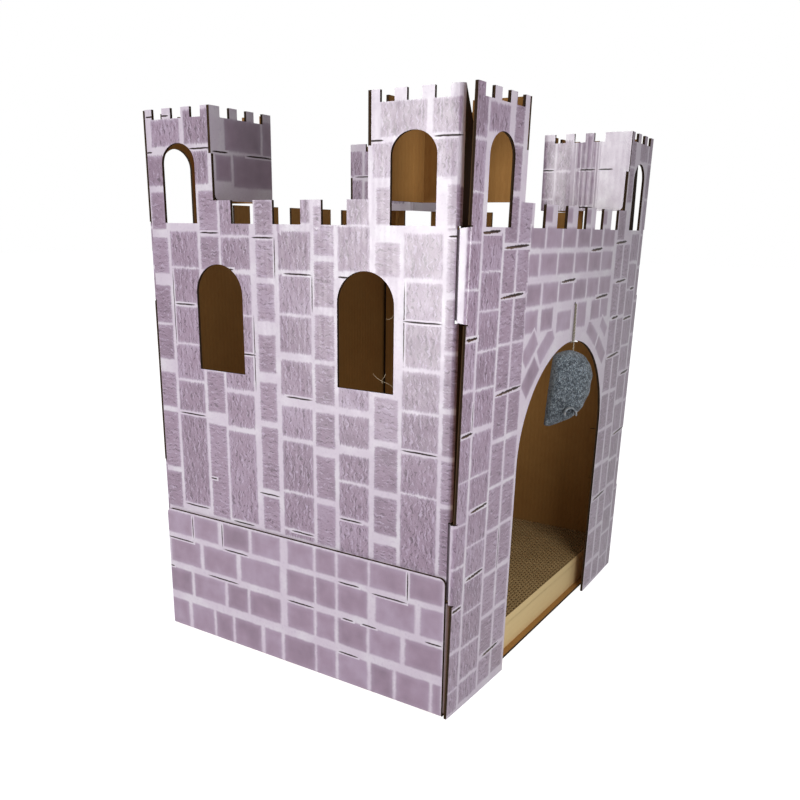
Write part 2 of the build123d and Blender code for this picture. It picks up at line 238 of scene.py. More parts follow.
FRONT_CRACKS = (
    (-219, -186, 456), (-178, -126, 443.6), (-180, -131, 400), (-178, -125, 311), (-44, -3, 408.4),
    (36, 74, 438.8), (64, 109, 386), (120, 165, 446), (134, 176, 400.5), (132, 158, 357), (128, 178, 310),
    (181, 217, 352.5), (199, 217, 389), (195, 230, 280.5), (189, 239, 200.7), (128, 176, 125.5),
    (-238, -217, 367), (-238, -217, 282), (-213, -181, 206), (-215, -182, 138.5), (-172, -137, 39.7),
    (-238, -221, 113.4),
)
FRONT_UPRIGHT_CRACKS = ((-152, 128, 176), (-219, 284, 310))
# Stones round the arch: middle across and up, half length, half width, turn in degrees
FRONT_WEDGES = (
    (-110, 345.5, 17, 9, 40), (-72, 346.5, 20, 9, 36), (-104.5, 317, 19, 10, 44),
    (64, 345.5, 19.5, 7.5, -30), (103.5, 349.5, 13, 6, -34), (99.5, 322, 19, 8, -38),
)
# Back wall below its parapet, which the photo doesn't show: plain courses, every other one set over
BACK_COURSES = (
    (5, 40), (46, 82), (88, 124), (130, 166), (172, 208), (214, 250), (256, 292), (298, 334), (340, 376),
    (382, 408), (415, 440),
)
BACK_ROWS = tuple(
    (low, high, tuple((x - 18, x + 18) for x in range(-96 + 20 * (i % 2), 120, 42)))
    for i, (low, high) in enumerate(BACK_COURSES))

# Tower corner pieces: the distance runs along the outside of both panels
END_PANEL_COLUMNS = (
    (104, 132, ROUGH, ((492, 519), (526, 556))),
    (137, 170, ROUGH, ((490, 520), (527, 560))),
    (174, 198, ROUGH, ((492, 522), (529, 560))),
)
SIDE_PANEL_COLUMNS = (
    (8, 34, SMOOTH, ((499, 526), (534, 560))),
    (41, 71, SMOOTH, ((497, 527), (533, 563))),
)
CORNER_PRINT = (
    (*SIDE_PANEL_COLUMNS, (76, 96, SMOOTH, ((496, 527), (533, 560))), *END_PANEL_COLUMNS),
    ((4, 30, 530), (60, 96, 526), (102, 131, 523), (150, 186, 527), (140, 172, 486)),
)
BACK_LEFT_PRINT = (
    (
        (20, 73, SMOOTH, ((530, 560),)),
        (76, 95, SMOOTH, ((529, 562),)),
        (6, 28, SMOOTH, ((501, 525),)),
        (31, 92, SMOOTH, ((496, 526),)),
        *END_PANEL_COLUMNS,
    ),
    ((2, 24, 528), (50, 92, 527), (150, 186, 527)),
)
FRONT_RIGHT_PRINT = (
    (
        *SIDE_PANEL_COLUMNS,
        (76, 86, SMOOTH, ((496, 527), (533, 560))),
        (90, 106.5, ROUGH, ((481, 494), (497, 528), (531, 562))),
        (109, 128, ROUGH, ((481, 526), (530, 562))),
        (134.5, 138, SMOOTH, ((488, 527), (531, 564))),
        (141.5, 144, SMOOTH, ((488, 527), (531, 570))),
        (147, 151, SMOOTH, ((488, 527), (531, 566))),
        (154.5, 156.5, SMOOTH, ((490, 527), (531, 560))),
    ),
    ((91, 106, 529), (138, 158, 529), (162, 180, 529), (133, 158, 486)),
)

# Felt mouse, nose down: rows of depth below the tail, belly, back and half thickness
MOUSE_TURN = -60.0
MOUSE_ROWS = np.array((
    (0.0, -9.0, 3.0, 6.0),
    (6.0, -20.5, 12.5, 12.5),
    (15.0, -21.3, 20.0, 16.0),
    (28.0, -22.4, 22.5, 17.0),
    (46.0, -23.9, 20.5, 15.5),
    (62.0, -25.2, 14.5, 11.5),
    (75.0, -26.2, 3.0, 7.0),
    (85.0, -27.0, -20.0, 2.5),
))
EAR_LEVEL = 67.0
EAR_RADIUS = 6.5
EAR_FELT = 1.3
EAR_REACH = 19.0
EAR_SWEEP = 215.0
EAR_ROOT = 8.0
EAR_SETBACK = -1.0
# Loose fibres of the felt: half thickness, least share of the full length, and the shares of the length
# along the surface's normal and sideways at a fibre's bend and tip
WOOL_RADIUS = 0.045
WOOL_SHORTEST = 0.4
WOOL_BENDS = ((0.28, 0.5), (0.38, 0.95))


def colour_setting(name, note, *display):
    """Colour property. Its default is a display colour from 0 to 255, kept as a linear one."""
    shares = np.array(display) / 255
    linear = np.where(shares <= 0.04045, shares / 12.92, ((shares + 0.055) / 1.055) ** 2.4)
    return bpy.props.FloatVectorProperty(
        name=name, description=note, default=linear.tolist(), subtype="COLOR", size=3, min=0, max=1)


def number_setting(name, note, default, **details):
    return bpy.props.FloatProperty(name=name, description=note, default=default, **details)


class CastlePrint(bpy.types.PropertyGroup):
    brick: colour_setting("Brick", "Main colour of the printed bricks", 156, 130, 152)
    brick_dark: colour_setting("Brick shade", "Darker flecks of the bricks", 94, 71, 90)
    brick_light: colour_setting("Brick light", "Paler flecks of the bricks", 190, 171, 195)
    joint: colour_setting("Joint", "Pale joints between the bricks", 214, 200, 215)
    crack: colour_setting("Crack", "Dark lines under some bricks", 46, 30, 26)
    kraft: colour_setting("Board", "Unprinted brown board", 192, 146, 84)
    kraft_dark: colour_setting("Board shade", "Darker fibres of the board", 162, 114, 60)
    # Flute and cut edge are painted shade: the dark of the hollows between the papers, and paper at the cut
    # edges darker than the board's faces. The flute colour also paints shade in the pad's channels and on the
    # glue flaps
    flute: colour_setting("Flute", "Dark inside of the flutes at cut edges", 46, 32, 20)
    edge: colour_setting("Cut edge", "Paper layers at the cut edges", 96, 70, 44)
    # Flap is painted shade: the glue flaps' brown darkened for the narrow gaps at the corners
    flap: colour_setting("Flap", "Shaded brown of the folded glue flaps", 66, 48, 36)
    fibre: colour_setting("Loose fibre", "Loose paper fibres at a cut edge", 236, 226, 208)
    pad: colour_setting("Scratch pad", "Raw board of the scratch pad", 216, 184, 132)
    # Pad front is painted light: the pad's raw board painted paler on its front liner
    pad_front: colour_setting("Pad front", "Smooth front of the scratch pad", 250, 222, 166)
    pad_dark: colour_setting("Pad shade", "Darker fibres of the scratch pad", 172, 138, 90)
    joint_blur: number_setting(
        "Joint blur", "How far a brick's edge fades into the joint, in mm", 1.0, min=0.1)


class CastleToy(bpy.types.PropertyGroup):
    felt: colour_setting("Felt", "Main colour of the mouse", 116, 128, 138)
    felt_dark: colour_setting("Felt shade", "Dark fibres of the felt", 46, 52, 60)
    felt_light: colour_setting("Felt light", "Pale fibres of the felt", 186, 196, 202)
    ear: colour_setting("Ear", "Paler felt of the ears", 196, 192, 188)
    twine: colour_setting("Twine", "Pale strand of the string", 206, 198, 178)
    twine_dark: colour_setting("Twine shade", "Dark strand of the string", 160, 150, 134)
    twine_radius: number_setting("Twine", "Half the string's thickness", 0.8 * MM, unit="LENGTH")
    fibres: bpy.props.IntProperty(
        name="Fibres", description="Loose fibres standing on the felt", default=5200, min=0)
    fibre_length: number_setting("Fibre length", "Length of a loose fibre", 1.5 * MM, unit="LENGTH")


class CastleStage(bpy.types.PropertyGroup):
    floor: colour_setting("Floor", "Colour of the floor", 236, 236, 238)
    lens: number_setting("Lens", "Focal length of the camera", 37.3, unit="CAMERA")
    side_light: number_setting("Side light", "Strength of the light on the left, in watts", 14.5, min=0)
    front_light: number_setting("Front light", "Strength of the light in front, in watts", 1.25, min=0)
    sky: number_setting("Sky", "Strength of the even light all round", 0.27, min=0)


# Node trees
class Value:
    """Output of a node that takes part in arithmetic, as a vector where its socket is one."""

    def __init__(self, net, socket):
        self.net = net
        self.socket = socket

    def apply(self, operation, *values):
        kind = "VectorMath" if self.socket.type == "VECTOR" else "Math"
        return self.net.value(kind, values, operation=operation)

    def __add__(self, other):
        return self.apply("ADD", self, other)

    def __sub__(self, other):
        return self.apply("SUBTRACT", self, other)

    def __rsub__(self, other):
        return self.apply("SUBTRACT", other, self)

    def __mul__(self, other):
        return self.apply("MULTIPLY", self, other)

    def __truediv__(self, other):
        return self.apply("DIVIDE", self, other)

    def __abs__(self):
        return self.apply("ABSOLUTE", self)


class Net:
    """Adds nodes to a tree and joins them; an input may be a Value, a number or a colour."""

    def __init__(self, tree):
        self.tree = tree
        self.nodes = tree.nodes

    def feed(self, socket, value):
        if isinstance(value, Value):
            self.tree.links.new(value.socket, socket)
        elif socket.type == "RGBA":
            socket.default_value = (*value[:3], 1.0)
        else:
            socket.default_value = value

    def feed_all(self, sockets, values):
        """Feeds inputs by number, or by name where the values have names."""
        for label, value in (values.items() if hasattr(values, "items") else enumerate(values)):
            self.feed(sockets[label], value)

    def value(self, kind, values=(), output=0, **settings):
        """Output of a new shader node."""
        node = self.nodes.new("ShaderNode" + kind)
        for key, setting in settings.items():
            setattr(node, key, setting)
        self.feed_all(node.inputs, values)
        return Value(self, node.outputs[output])

    def math(self, operation, *values):
        return self.value("Math", values, operation=operation)

    def clamp(self, value):
        return self.value("Math", (value, 0.0), operation="ADD", use_clamp=True)

    def split(self, vector):
        parts = self.value("SeparateXYZ", (vector,)).socket.node.outputs
        return [Value(self, part) for part in parts]

    def join(self, x=0.0, y=0.0):
        return self.value("CombineXYZ", (x, y, 0.0))

    def mix(self, share, first, second):
        return self.value("Mix", {0: share, 6: first, 7: second}, 2, data_type="RGBA")

    def noise(self, vector, scale=1.0, detail=2.0, roughness=0.5):
        values = {"Vector": vector, "Scale": scale, "Detail": detail, "Roughness": roughness}
        return self.value("TexNoise", values, "Fac")

    def step(self, value, low, high):
        """Smooth step from 0 at low to 1 at high."""
        return self.value("MapRange", (value, low, high, 0.0, 1.0), interpolation_type="SMOOTHSTEP")

    def layer(self, name):
        return self.value("UVMap", uv_map=name)

    def spot(self, scale):
        """Place in the object's own space, times a number or one for each direction."""
        return self.value("TexCoord", output="Object") * np.broadcast_to(scale, 3).tolist()

    def group(self, make, values):
        """Outputs of a node group, by name; the group is made on its first use."""
        node = self.nodes.new("ShaderNodeGroup")
        node.node_tree = bpy.data.node_groups.get(make.__name__) or make()
        self.feed_all(node.inputs, values)
        return {socket.name: Value(self, socket) for socket in node.outputs}


def new_group(name, inputs, outputs):
    """New node group with the named sockets; returns it with its net, its inputs and its output's sockets."""
    group = bpy.data.node_groups.new(name, "ShaderNodeTree")
    for way, labels in (("INPUT", inputs), ("OUTPUT", outputs)):
        for label, kind in labels.items():
            group.interface.new_socket(label, in_out=way, socket_type="NodeSocket" + kind)
    net = Net(group)
    given = {socket.name: Value(net, socket) for socket in group.nodes.new("NodeGroupInput").outputs}
    return group, net, given, group.nodes.new("NodeGroupOutput").inputs


def new_material(name):
    """New material and the net of its nodes."""
    material = bpy.data.materials.new(name)
    material.use_nodes = True
    return material, Net(material.node_tree)


def dress(net, colour, roughness, specular, relief=None, **others):
    """Feeds a material's shader; relief is a height, its depth in metres and its strength."""
    shader = net.nodes["Principled BSDF"]
    values = {"Base Color": colour, "Roughness": roughness, "Specular IOR Level": specular}
    values.update((label.replace("_", " "), value) for label, value in others.items())
    if relief is not None:
        height, depth, strength = relief
        values["Normal"] = net.value("Bump", {"Strength": strength, "Distance": depth, "Height": height})
    net.feed_all(shader.inputs, values)


def flute_wave(net, across, pitch):
    """Sine of the distance across the flutes."""
    return net.math("SINE", across * (2 * math.pi / pitch))


def kraft_fibres():
    """Node group of brown board: long fibres along the flutes, small specks, and the flutes showing through
    as faint bands. Its place is in millimetres, and its wave runs across the flutes."""
    group, net, given, out = new_group(
        "kraft_fibres",
        {"Place": "Vector", "Wave": "Float", "Board": "Color", "Shade": "Color"},
        {"Color": "Color", "Height": "Float"})
    place, band = given["Place"], given["Wave"]
    fibres = net.noise(place * (0.9, 0.12, 0.3), 1.0, 4.0, 0.6)
    cloud = net.noise(place, 0.02, 3.0)
    specks = net.step(net.noise(place, 0.75, 2.0, 0.7), 0.62, 0.74)
    tone = net.clamp(band * 0.05 + (fibres * 0.9 + (cloud * 0.6 - 0.28)))
    colour = net.mix(tone, given["Shade"], given["Board"])
    net.feed(out["Color"], net.mix(specks * 0.4, colour, given["Shade"]))
    net.feed(out["Height"], band * 0.35 + fibres * 0.3)
    return group


def stone_print():
    """Node group of the brick print. Cell is the place from the brick's middle and Half its half size, in
    millimetres; Tone is a random number and the finish.

    A brick covers the points whose distance inside its edges, roughened by noise, is above zero, with a
    soft rim. Rough bricks get upright flecks and streaked ones level streaks with curls, drawn like a
    relief: the difference of one noise at two near places. A crack is a dark line that narrows to its ends.
    """
    colours = ("Brick", "Shade", "Light", "Joint", "Crack")
    group, net, given, out = new_group(
        "stone_print",
        {**dict.fromkeys(("Cell", "Half", "Tone", "Place"), "Vector"), **dict.fromkeys(colours, "Color"),
         "Blur": "Float"},
        {"Color": "Color", "Height": "Float", "Line": "Float"})
    brick, shade, light, joint, dark = (given[label] for label in colours)
    board = given["Place"]
    x, y, _ = net.split(given["Cell"])
    half_x, half_y, _ = net.split(given["Half"])
    seed, finish, _ = net.split(given["Tone"])
    place = board + net.join(seed * 310.0)
    smooth = net.step(finish, 1.4, 1.6)
    streaked = net.clamp(net.step(finish, 0.4, 0.6) - smooth)
    rough = net.clamp(1.0 - (streaked + smooth))
    crack = net.step(finish, 2.4, 2.6)

    def relief(start, shift):
        return net.noise(start, 1.0, 3.0, 0.6) - net.noise(start + shift, 1.0, 3.0, 0.6)

    # Distance inside the brick: upright edges nearly straight, level ones brushed out along the flecks
    wander = net.noise(place, 0.1) * 2.4 - 1.2
    fray = (net.noise(place * (0.3, 1.0, 1.0)) * 2.6 - 1.3) * (streaked + 0.3)
    brush = (net.noise(place * (0.55, 0.08, 1.0), 1.0, 3.0) * 4.4 - 1.7) * (rough * 0.7 + 0.3)
    inside_x = half_x - abs(x) + wander + fray
    inside_y = half_y - abs(y) + wander + brush
    blur = given["Blur"] * (smooth * 0.4 + 1.0)
    cover = net.step(inside_x, blur * -1.0, blur) * net.step(inside_y, blur * -1.4, blur * 1.2)
    # Flecks and streaks
    warp = net.noise(place * (0.2, 0.2, 1.0))
    fleck = relief(place * (0.27, 0.085, 1.0) + net.join(warp * 2.2), (0.3, 0.03, 0.0))
    streak = net.noise(place * (0.07, 0.85, 1.0), 1.0, 3.0, 0.65)
    curl = relief(place * (0.09, 0.3, 1.0) + net.join(0.0, warp * 2.4), (0.03, 0.3, 0.0))
    dark_fleck = net.step(fleck * rough, 0.03, 0.13)
    light_fleck = net.step(fleck * (rough * -1.0), 0.03, 0.14)
    dark_streak = net.math("MAXIMUM", net.step(streak, 0.56, 0.74) * 0.7, net.step(curl, 0.05, 0.15))
    light_streak = net.math("MAXIMUM", net.step(streak, 0.42, 0.24) * 0.7, net.step(curl, -0.05, -0.16))
    darker = net.math("MAXIMUM", dark_fleck, dark_streak * streaked)
    lighter = net.math("MAXIMUM", light_fleck, light_streak * streaked)
    # Brick, from its tone to its flecks and the haze along its edges
    grain = net.noise(place, 0.9, 2.0, 0.7)
    tone = seed * 0.5 + (net.noise(place, 0.045) * 1.2 - 0.85) + (grain * 0.5 - 0.25)
    colour = net.mix(net.clamp(tone), brick, light)
    colour = net.mix(net.clamp(tone * -1.0) * 0.9, colour, shade)
    colour = net.mix(darker * 0.85, colour, shade)
    colour = net.mix(lighter * 0.8, colour, light)
    haze = net.step(net.math("MINIMUM", inside_x, inside_y), blur * 4.5, 0.0)
    colour = net.mix(haze * 0.28, colour, light)
    # Joints, paler in places
    shine = net.step(net.noise(board, 0.03), 0.42, 0.7)
    joint = net.mix(shine * 0.45, joint, (0.83, 0.8, 0.84))
    joint = net.mix(net.step(net.noise(board, 0.3), 0.5, 0.75) * 0.35, joint, light)
    colour = net.mix(cover, joint, colour)
    # Cracks: thick ones are ragged, slant a little and have a paler lower lip
    reach = net.math("POWER", abs(x) / half_x, 5.0)
    waver = net.noise(board, 0.12, 3.0) - 0.5
    thick = net.step(half_y, 1.0, 1.5)
    rag = (net.noise(board, 0.45, 3.0) * 3.4 - 1.9) * (thick * 0.8 + 0.15)
    slant = x * thick * -0.05
    line = half_y * (1.0 - reach) - abs(y + waver + slant) + rag
    line = net.step(line, -0.35, 0.25) * crack
    lip = net.step(y / half_y, -0.1, -0.5) * thick
    colour = net.mix(crack, colour, joint)
    colour = net.mix(line, colour, net.mix(lip * 0.7, dark, (0.15, 0.085, 0.055)))
    net.feed_all(out, {"Line": line, "Color": colour, "Height": grain * 0.5 + line * -0.6})
    return group


def print_material(name, settings):
    """Printed liner: the brick print, a dull varnish, and flutes that show through as faint waves."""
    material, net = new_material(name)
    place = net.layer("board")
    across, _, _ = net.split(place)
    cell = net.group(stone_print, {
        "Cell": net.layer("cell"), "Half": net.layer("half"), "Tone": net.layer("tone"), "Place": place,
        "Brick": settings.brick, "Shade": settings.brick_dark, "Light": settings.brick_light,
        "Joint": settings.joint, "Crack": settings.crack, "Blur": settings.joint_blur})
    height = flute_wave(net, across, FLUTE_PITCH) * 0.02 + net.noise(place, 0.035) * 1.4
    roughness = net.noise(place, 0.08) * 0.12 + 0.27
    specular = cell["Line"] * -0.9 + 1.0
    dress(net, cell["Color"], roughness, specular, (cell["Height"] * 0.05 + height, MM, 0.6))
    return material


def kraft_material(name, board, shade):
    """Unprinted liner of the board."""
    material, net = new_material(name)
    place = net.layer("board")
    across, _, _ = net.split(place)
    wave = flute_wave(net, across, FLUTE_PITCH)
    fibres = net.group(kraft_fibres, {"Place": place, "Wave": wave, "Board": board, "Shade": shade})
    dress(net, fibres["Color"], 0.85, 0.25, (fibres["Height"], 0.3 * MM, 0.5))
    return material


def edge_material(name, settings):
    """Cut edge of the board: two liners, and between them the fluted sheet, a sine across the flutes. The
    paper is coloured darker than the board's faces, and the hollows between the papers take the dark flute
    colour: both are painted shade.
    """
    material, net = new_material(name)
    across, depth, _ = net.split(net.layer("board"))
    middle = flute_wave(net, across, FLUTE_PITCH) * (CARD * 0.34) + CARD / 2
    medium = net.step(abs(depth - middle), 0.55, 0.25)
    liner = net.step(net.math("MINIMUM", depth, CARD - depth), 0.6, 0.3)
    paper = net.math("MAXIMUM", liner, medium)
    fray = net.noise(net.join(across, depth), 1.6, 3.0, 0.7)
    board = net.mix(fray, settings.flute, settings.edge)
    dress(net, net.mix(paper, settings.flute, board), 0.9, 0.2, (paper, 0.6 * MM, 0.8))
    return material


def shared_material(name, make, *values):
    """Material of that name, made on its first use."""
    return bpy.data.materials.get(name) or make(name, *values)


# Material slots of every sheet of board
PRINTED, BROWN, EDGE, FLAP_SHADE = range(4)


def board_materials(scene):
    settings = scene.castle_print
    return (
        shared_material("stone_liner", print_material, settings),
        shared_material("brown_liner", kraft_material, settings.kraft, settings.kraft_dark),
        shared_material("cut_edge", edge_material, settings),
        # Glue flaps: the brown liner darkened as painted shade
        shared_material("flap_liner", kraft_material, settings.flap, settings.flute),
    )


# Flat sheets
def arc_points(centre, radius_x, radius_y, start, end, count):
    """Points of an elliptic arc, from its centre, radii, and first and last angle in degrees."""
    angles = np.radians(np.linspace(start, end, count))
    return np.column_stack((centre[0] + radius_x * np.cos(angles), centre[1] + radius_y * np.sin(angles)))


def arched_loop(middle, sill, size, count=28):
    """Opening with a level sill, upright sides and an elliptic head."""
    width, height, rise = size
    head = arc_points((middle, sill + height - rise), width / 2, rise, 0, 180, count)
    return np.vstack(((middle - width / 2, sill), (middle + width / 2, sill), head))


def box_loop(left, right, low, high):
    return np.array(((left, low), (right, low), (right, high), (left, high)), float)


def merlon_edges(start, end, count, width):
    """Left and right edges of the gaps between equal merlons that fill a length."""
    pitch = (end - start - width) / (count - 1)
    lefts = start + width + pitch * np.arange(count - 1)
    return np.column_stack((lefts, lefts + pitch - width))


def battlement(points, gaps, top, floor):
    """Adds to a list of outline points the gaps in a level top, from left to right."""
    for left, right in gaps:
        points += [(left, top), (left, floor), (right, floor), (right, top)]


# Room left round a brick and a crack for their ragged edges, and half widths of the cracks
BRICK_MARGIN = 2.6
CRACK_MARGIN = 1.6
CRACK_HALF = 0.75
FRONT_CRACK_HALF = 1.45
UPRIGHT_CRACK_HALF = 0.5
BAND_UPRIGHT_HALF = 0.6
# Added to a crack's depth, so that it comes before any brick under it
CRACK_FIRST = 1e3


def brick_marks(columns, rows=(), cracks=(), uprights=(), wedges=(), seed=1, crack_half=CRACK_HALF):
    """Table of parallelograms of the print: middle, half axes along and up, turn, finish, random number."""
    spans = [(*x_span, *z_span, finish) for *x_span, finish, levels in columns for z_span in levels]
    spans += [(*x_span, low, high, SMOOTH) for low, high, x_spans in rows for x_span in x_spans]
    marks = [
        ((left + right) / 2, (low + high) / 2, (right - left) / 2, (high - low) / 2, 0, finish)
        for left, right, low, high, finish in spans]
    marks += [(*wedge, SMOOTH) for wedge in wedges]
    marks += [((left + right) / 2, level, (right - left) / 2, crack_half, 0, CRACK)
              for left, right, level in cracks]
    marks += [(across, (low + high) / 2, (high - low) / 2, UPRIGHT_CRACK_HALF, 90, CRACK)
              for across, low, high in uprights]
    return np.column_stack((marks, np.random.default_rng(seed).random(len(marks))))


def inside_loop(points, loop):
    """True for each point that a ray to the right leaves the loop an odd number of times."""
    start, end = loop, np.roll(loop, -1, axis=0)
    x, y = points[:, :1], points[:, 1:]
    spans = (start[:, 1] > y) != (end[:, 1] > y)
    rise = np.where(end[:, 1] == start[:, 1], 1e-9, end[:, 1] - start[:, 1])
    cross = start[:, 0] + (y - start[:, 1]) / rise * (end[:, 0] - start[:, 0])
    return (spans & (x < cross)).sum(axis=1) % 2 == 1


def mark_axes(marks):
    """Unit vectors along and across each mark."""
    turn = np.radians(marks[:, 4])
    along = np.column_stack((np.cos(turn), np.sin(turn)))
    return along, np.column_stack((-along[:, 1], along[:, 0]))


def cut_flat(outline, holes, marks, fold_lines, pitch):
    """Triangles of a flat sheet: its outline less its holes, divided along the marks, folds and a wide grid.

    Returns the points, the triangles that lie in the sheet, and the mark that each lies in, or -1.
    """
    points, edges = [], []

    def add_line(line, closed=True):
        first, count = len(points), len(line)
        points.extend(map(tuple, line))
        edges.extend((first + i, first + (i + 1) % count) for i in range(count if closed else count - 1))

    for loop in (outline, *holes):
        add_line(loop)
    along, across = mark_axes(marks)
    is_crack = marks[:, 5] == CRACK
    reach = marks[:, 2:4] + np.where(is_crack, CRACK_MARGIN, BRICK_MARGIN)[:, None]
    for middle, (reach_u, reach_v), u_axis, v_axis in zip(marks[:, :2], reach, along, across):
        corners = ((-1, -1), (1, -1), (1, 1), (-1, 1))
        add_line([middle + u * reach_u * u_axis + v * reach_v * v_axis for u, v in corners])
    low, high = outline.min(axis=0) - 1, outline.max(axis=0) + 1
    for x in (*fold_lines, *np.arange(low[0] + pitch, high[0], pitch)):
        add_line(((x, low[1]), (x, high[1])), closed=False)
    for y in np.arange(low[1] + pitch, high[1], pitch):
        add_line(((low[0], y), (high[0], y)), closed=False)
    made = delaunay_2d_cdt([Vector(p) for p in points], edges, [], 0, 1e-4)
    flat = np.array([v[:] for v in made[0]])
    triangles = np.array(made[2])
    middles = flat[triangles].mean(axis=1)
    keep = inside_loop(middles, outline)
    for hole in holes:
        keep &= ~inside_loop(middles, hole)
    triangles, middles = triangles[keep], middles[keep]
    # Depth of each middle inside each mark, cracks first
    away = middles[:, None] - marks[None, :, :2]
    offsets = np.abs(np.stack(((away * along).sum(axis=2), (away * across).sum(axis=2)), axis=2))
    depth = (reach - offsets).min(axis=2)
    depth = np.where(depth > 0, depth + np.where(is_crack, CRACK_FIRST, 0), -1)
    best = depth.argmax(axis=1)
    return flat, triangles, np.where(depth.max(axis=1) > 0, best, -1)


def new_mesh(name, points, faces, smooth=False, sharp=None, slots=None):
    """Mesh of points in metres; sharp is the angle in degrees from which a smooth mesh keeps its edges."""
    mesh = bpy.data.meshes.new(name)
    mesh.from_pydata(points, [], faces)
    if smooth:
        mesh.polygons.foreach_set("use_smooth", np.ones(len(faces), bool))
    if slots is not None:
        mesh.polygons.foreach_set("material_index", np.array(slots, np.int32))
    mesh.update()
    if sharp is not None:
        mesh.set_sharp_from_angle(angle=math.radians(sharp))
    return mesh


# Half size of the missing mark where no brick lies, so that the print shows the joint there
NO_MARK = -20.0


def build_sheet(name, materials, outline, holes, marks, place, fold_lines, bare=None, pitch=40.0):
    """Folded sheet of board: the flat triangles are placed by a function of distance and height, once for
    the outer face and once one card's thickness further in, and joined round their edges.

    place gives the points of the outer face and their outward normals, in millimetres. bare gives the
    material slot of the outer face's triangles from their middles, where they aren't all printed.
    """
    flat, triangles, mark = cut_flat(outline, holes, marks, fold_lines, pitch)
    used, triangles = np.unique(triangles, return_inverse=True)
    triangles = triangles.reshape(-1, 3)
    flat = flat[used]
    outer, normal = place(flat[:, 0], flat[:, 1])
    corners = outer[triangles]
    facing = np.cross(corners[:, 1] - corners[:, 0], corners[:, 2] - corners[:, 0])
    turned = (facing * normal[triangles[:, 0]]).sum(axis=1) < 0
    triangles[turned] = triangles[turned][:, ::-1]
    count = len(flat)
    # Edges that only one triangle uses
    sides = np.vstack((triangles[:, (0, 1)], triangles[:, (1, 2)], triangles[:, (2, 0)]))
    _, first, times = np.unique(np.sort(sides, axis=1), axis=0, return_index=True, return_counts=True)
    rim = sides[first[times == 1]]
    walls = np.column_stack((rim[:, 1], rim[:, 0], rim[:, 0] + count, rim[:, 1] + count))
    inner = triangles[:, ::-1]
    slots = np.repeat((PRINTED, BROWN, EDGE), (len(triangles), len(triangles), len(walls)))
    if bare is not None:
        middles = flat[triangles].mean(axis=1)
        slots[:len(triangles)] = bare(middles[:, 0])
    mesh = new_mesh(
        name, np.vstack((outer, outer - CARD * normal)) * MM,
        [*triangles.tolist(), *(inner + count).tolist(), *walls.tolist()],
        smooth=True, sharp=35, slots=slots)
    # Values at each face's corners
    corner = np.concatenate((triangles.ravel(), inner.ravel(), (walls % count).ravel()))
    board = flat[corner]
    board[2 * triangles.size:, 1] = np.tile((0, 0, CARD, CARD), len(walls))
    which = np.repeat(mark, 3)
    marked = np.flatnonzero(which >= 0)
    chosen = marks[which[marked]]
    away = flat[triangles.ravel()[marked]] - chosen[:, :2]
    cell, half, tone = np.zeros_like(board), np.full_like(board, NO_MARK), np.zeros_like(board)
    cell[marked] = np.column_stack([(away * axis).sum(axis=1) for axis in mark_axes(chosen)])
    half[marked] = chosen[:, 2:4]
    tone[marked] = chosen[:, (6, 5)]
    for layer, values in (("board", board), ("cell", cell), ("half", half), ("tone", tone)):
        mesh.uv_layers.new(name=layer).data.foreach_set("uv", values.astype(np.float32).ravel())
    for material in materials:
        mesh.materials.append(material)
    return mesh


def add_object(name, mesh, body, slot, *nodes):
    piece = bpy.data.objects.new(name, mesh)
    bpy.context.scene.collection.objects.link(piece)
    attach(piece, body)
    if nodes:
        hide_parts(*nodes)
    return piece


class FoldPath:
    """Line of a sheet's outer face seen on edge: straight runs joined by arcs of the fold's radius.

    at(distance) gives places and directions for an array of distances from the start. On a run the place is
    its start plus the distance times its direction, on an arc the centre plus the radius at the turned angle.
    """

    def __init__(self, corners, radius):
        corners = np.array(corners, float)
        self.radius = radius
        self.pieces = []
        self.folds = []
        quarter = radius * math.pi / 2
        travelled = 0.0
        start = corners[0]
        for i in range(1, len(corners)):
            run = corners[i] - corners[i - 1]
            run /= np.linalg.norm(run)
            bends = i < len(corners) - 1
            end = corners[i] - run * radius if bends else corners[i]
            self.pieces.append(("run", travelled, start, run, 0.0))
            travelled += (end - start) @ run
            if bends:
                turn = corners[i + 1] - corners[i]
                turn /= np.linalg.norm(turn)
                side = np.sign(run[0] * turn[1] - run[1] * turn[0])
                self.pieces.append(("arc", travelled, end, run, side))
                self.folds.append((travelled, travelled + quarter))
                travelled += quarter
                start = corners[i] + turn * radius
        self.length = travelled

    def at(self, distance):
        place = np.zeros((len(distance), 2))
        heading = np.zeros((len(distance), 2))
        for kind, start, origin, run, side in self.pieces:
            part = distance - start
            here = part >= -1e-6 if start > 0 else np.full(len(distance), True)
            if kind == "run":
                place[here] = origin + part[here, None] * run
                heading[here] = run
            else:
                angle = np.clip(part[here] / self.radius, 0, math.pi / 2)[:, None]
                left = side * np.array((-run[1], run[0]))
                place[here] = origin + self.radius * (np.sin(angle) * run + (1 - np.cos(angle)) * left)
                heading[here] = np.cos(angle) * run + np.sin(angle) * left
        return place, heading

    def fold_lines(self, steps=5):
        return [v for fold in self.folds for v in np.linspace(*fold, steps)]


# Walls
def tower_windows(centres):
    return [arched_loop(c, PARAPET_FLOOR, TOWER_WINDOW) for c in centres]


def wall_top(inner, outer, gaps):
    """Outline points of a wall's top from its right end to its left end: towers, notches and parapet."""
    tower = [(inner, PARAPET_TOP), (inner, SHOULDER), (inner + NOTCH, SHOULDER), (inner + NOTCH, TOWER_TOP)]
    merlons = merlon_edges(inner, outer, MERLON_COUNT, WALL_MERLON)
    battlement(tower, merlons, TOWER_TOP, TOWER_TOP - MERLON_HEIGHT)
    parapet = []
    battlement(parapet, [(c - w / 2, c + w / 2) for c, w in gaps], PARAPET_TOP, PARAPET_FLOOR)
    return [*tower[::-1], *parapet[::-1], *((-x, z) for x, z in tower)]


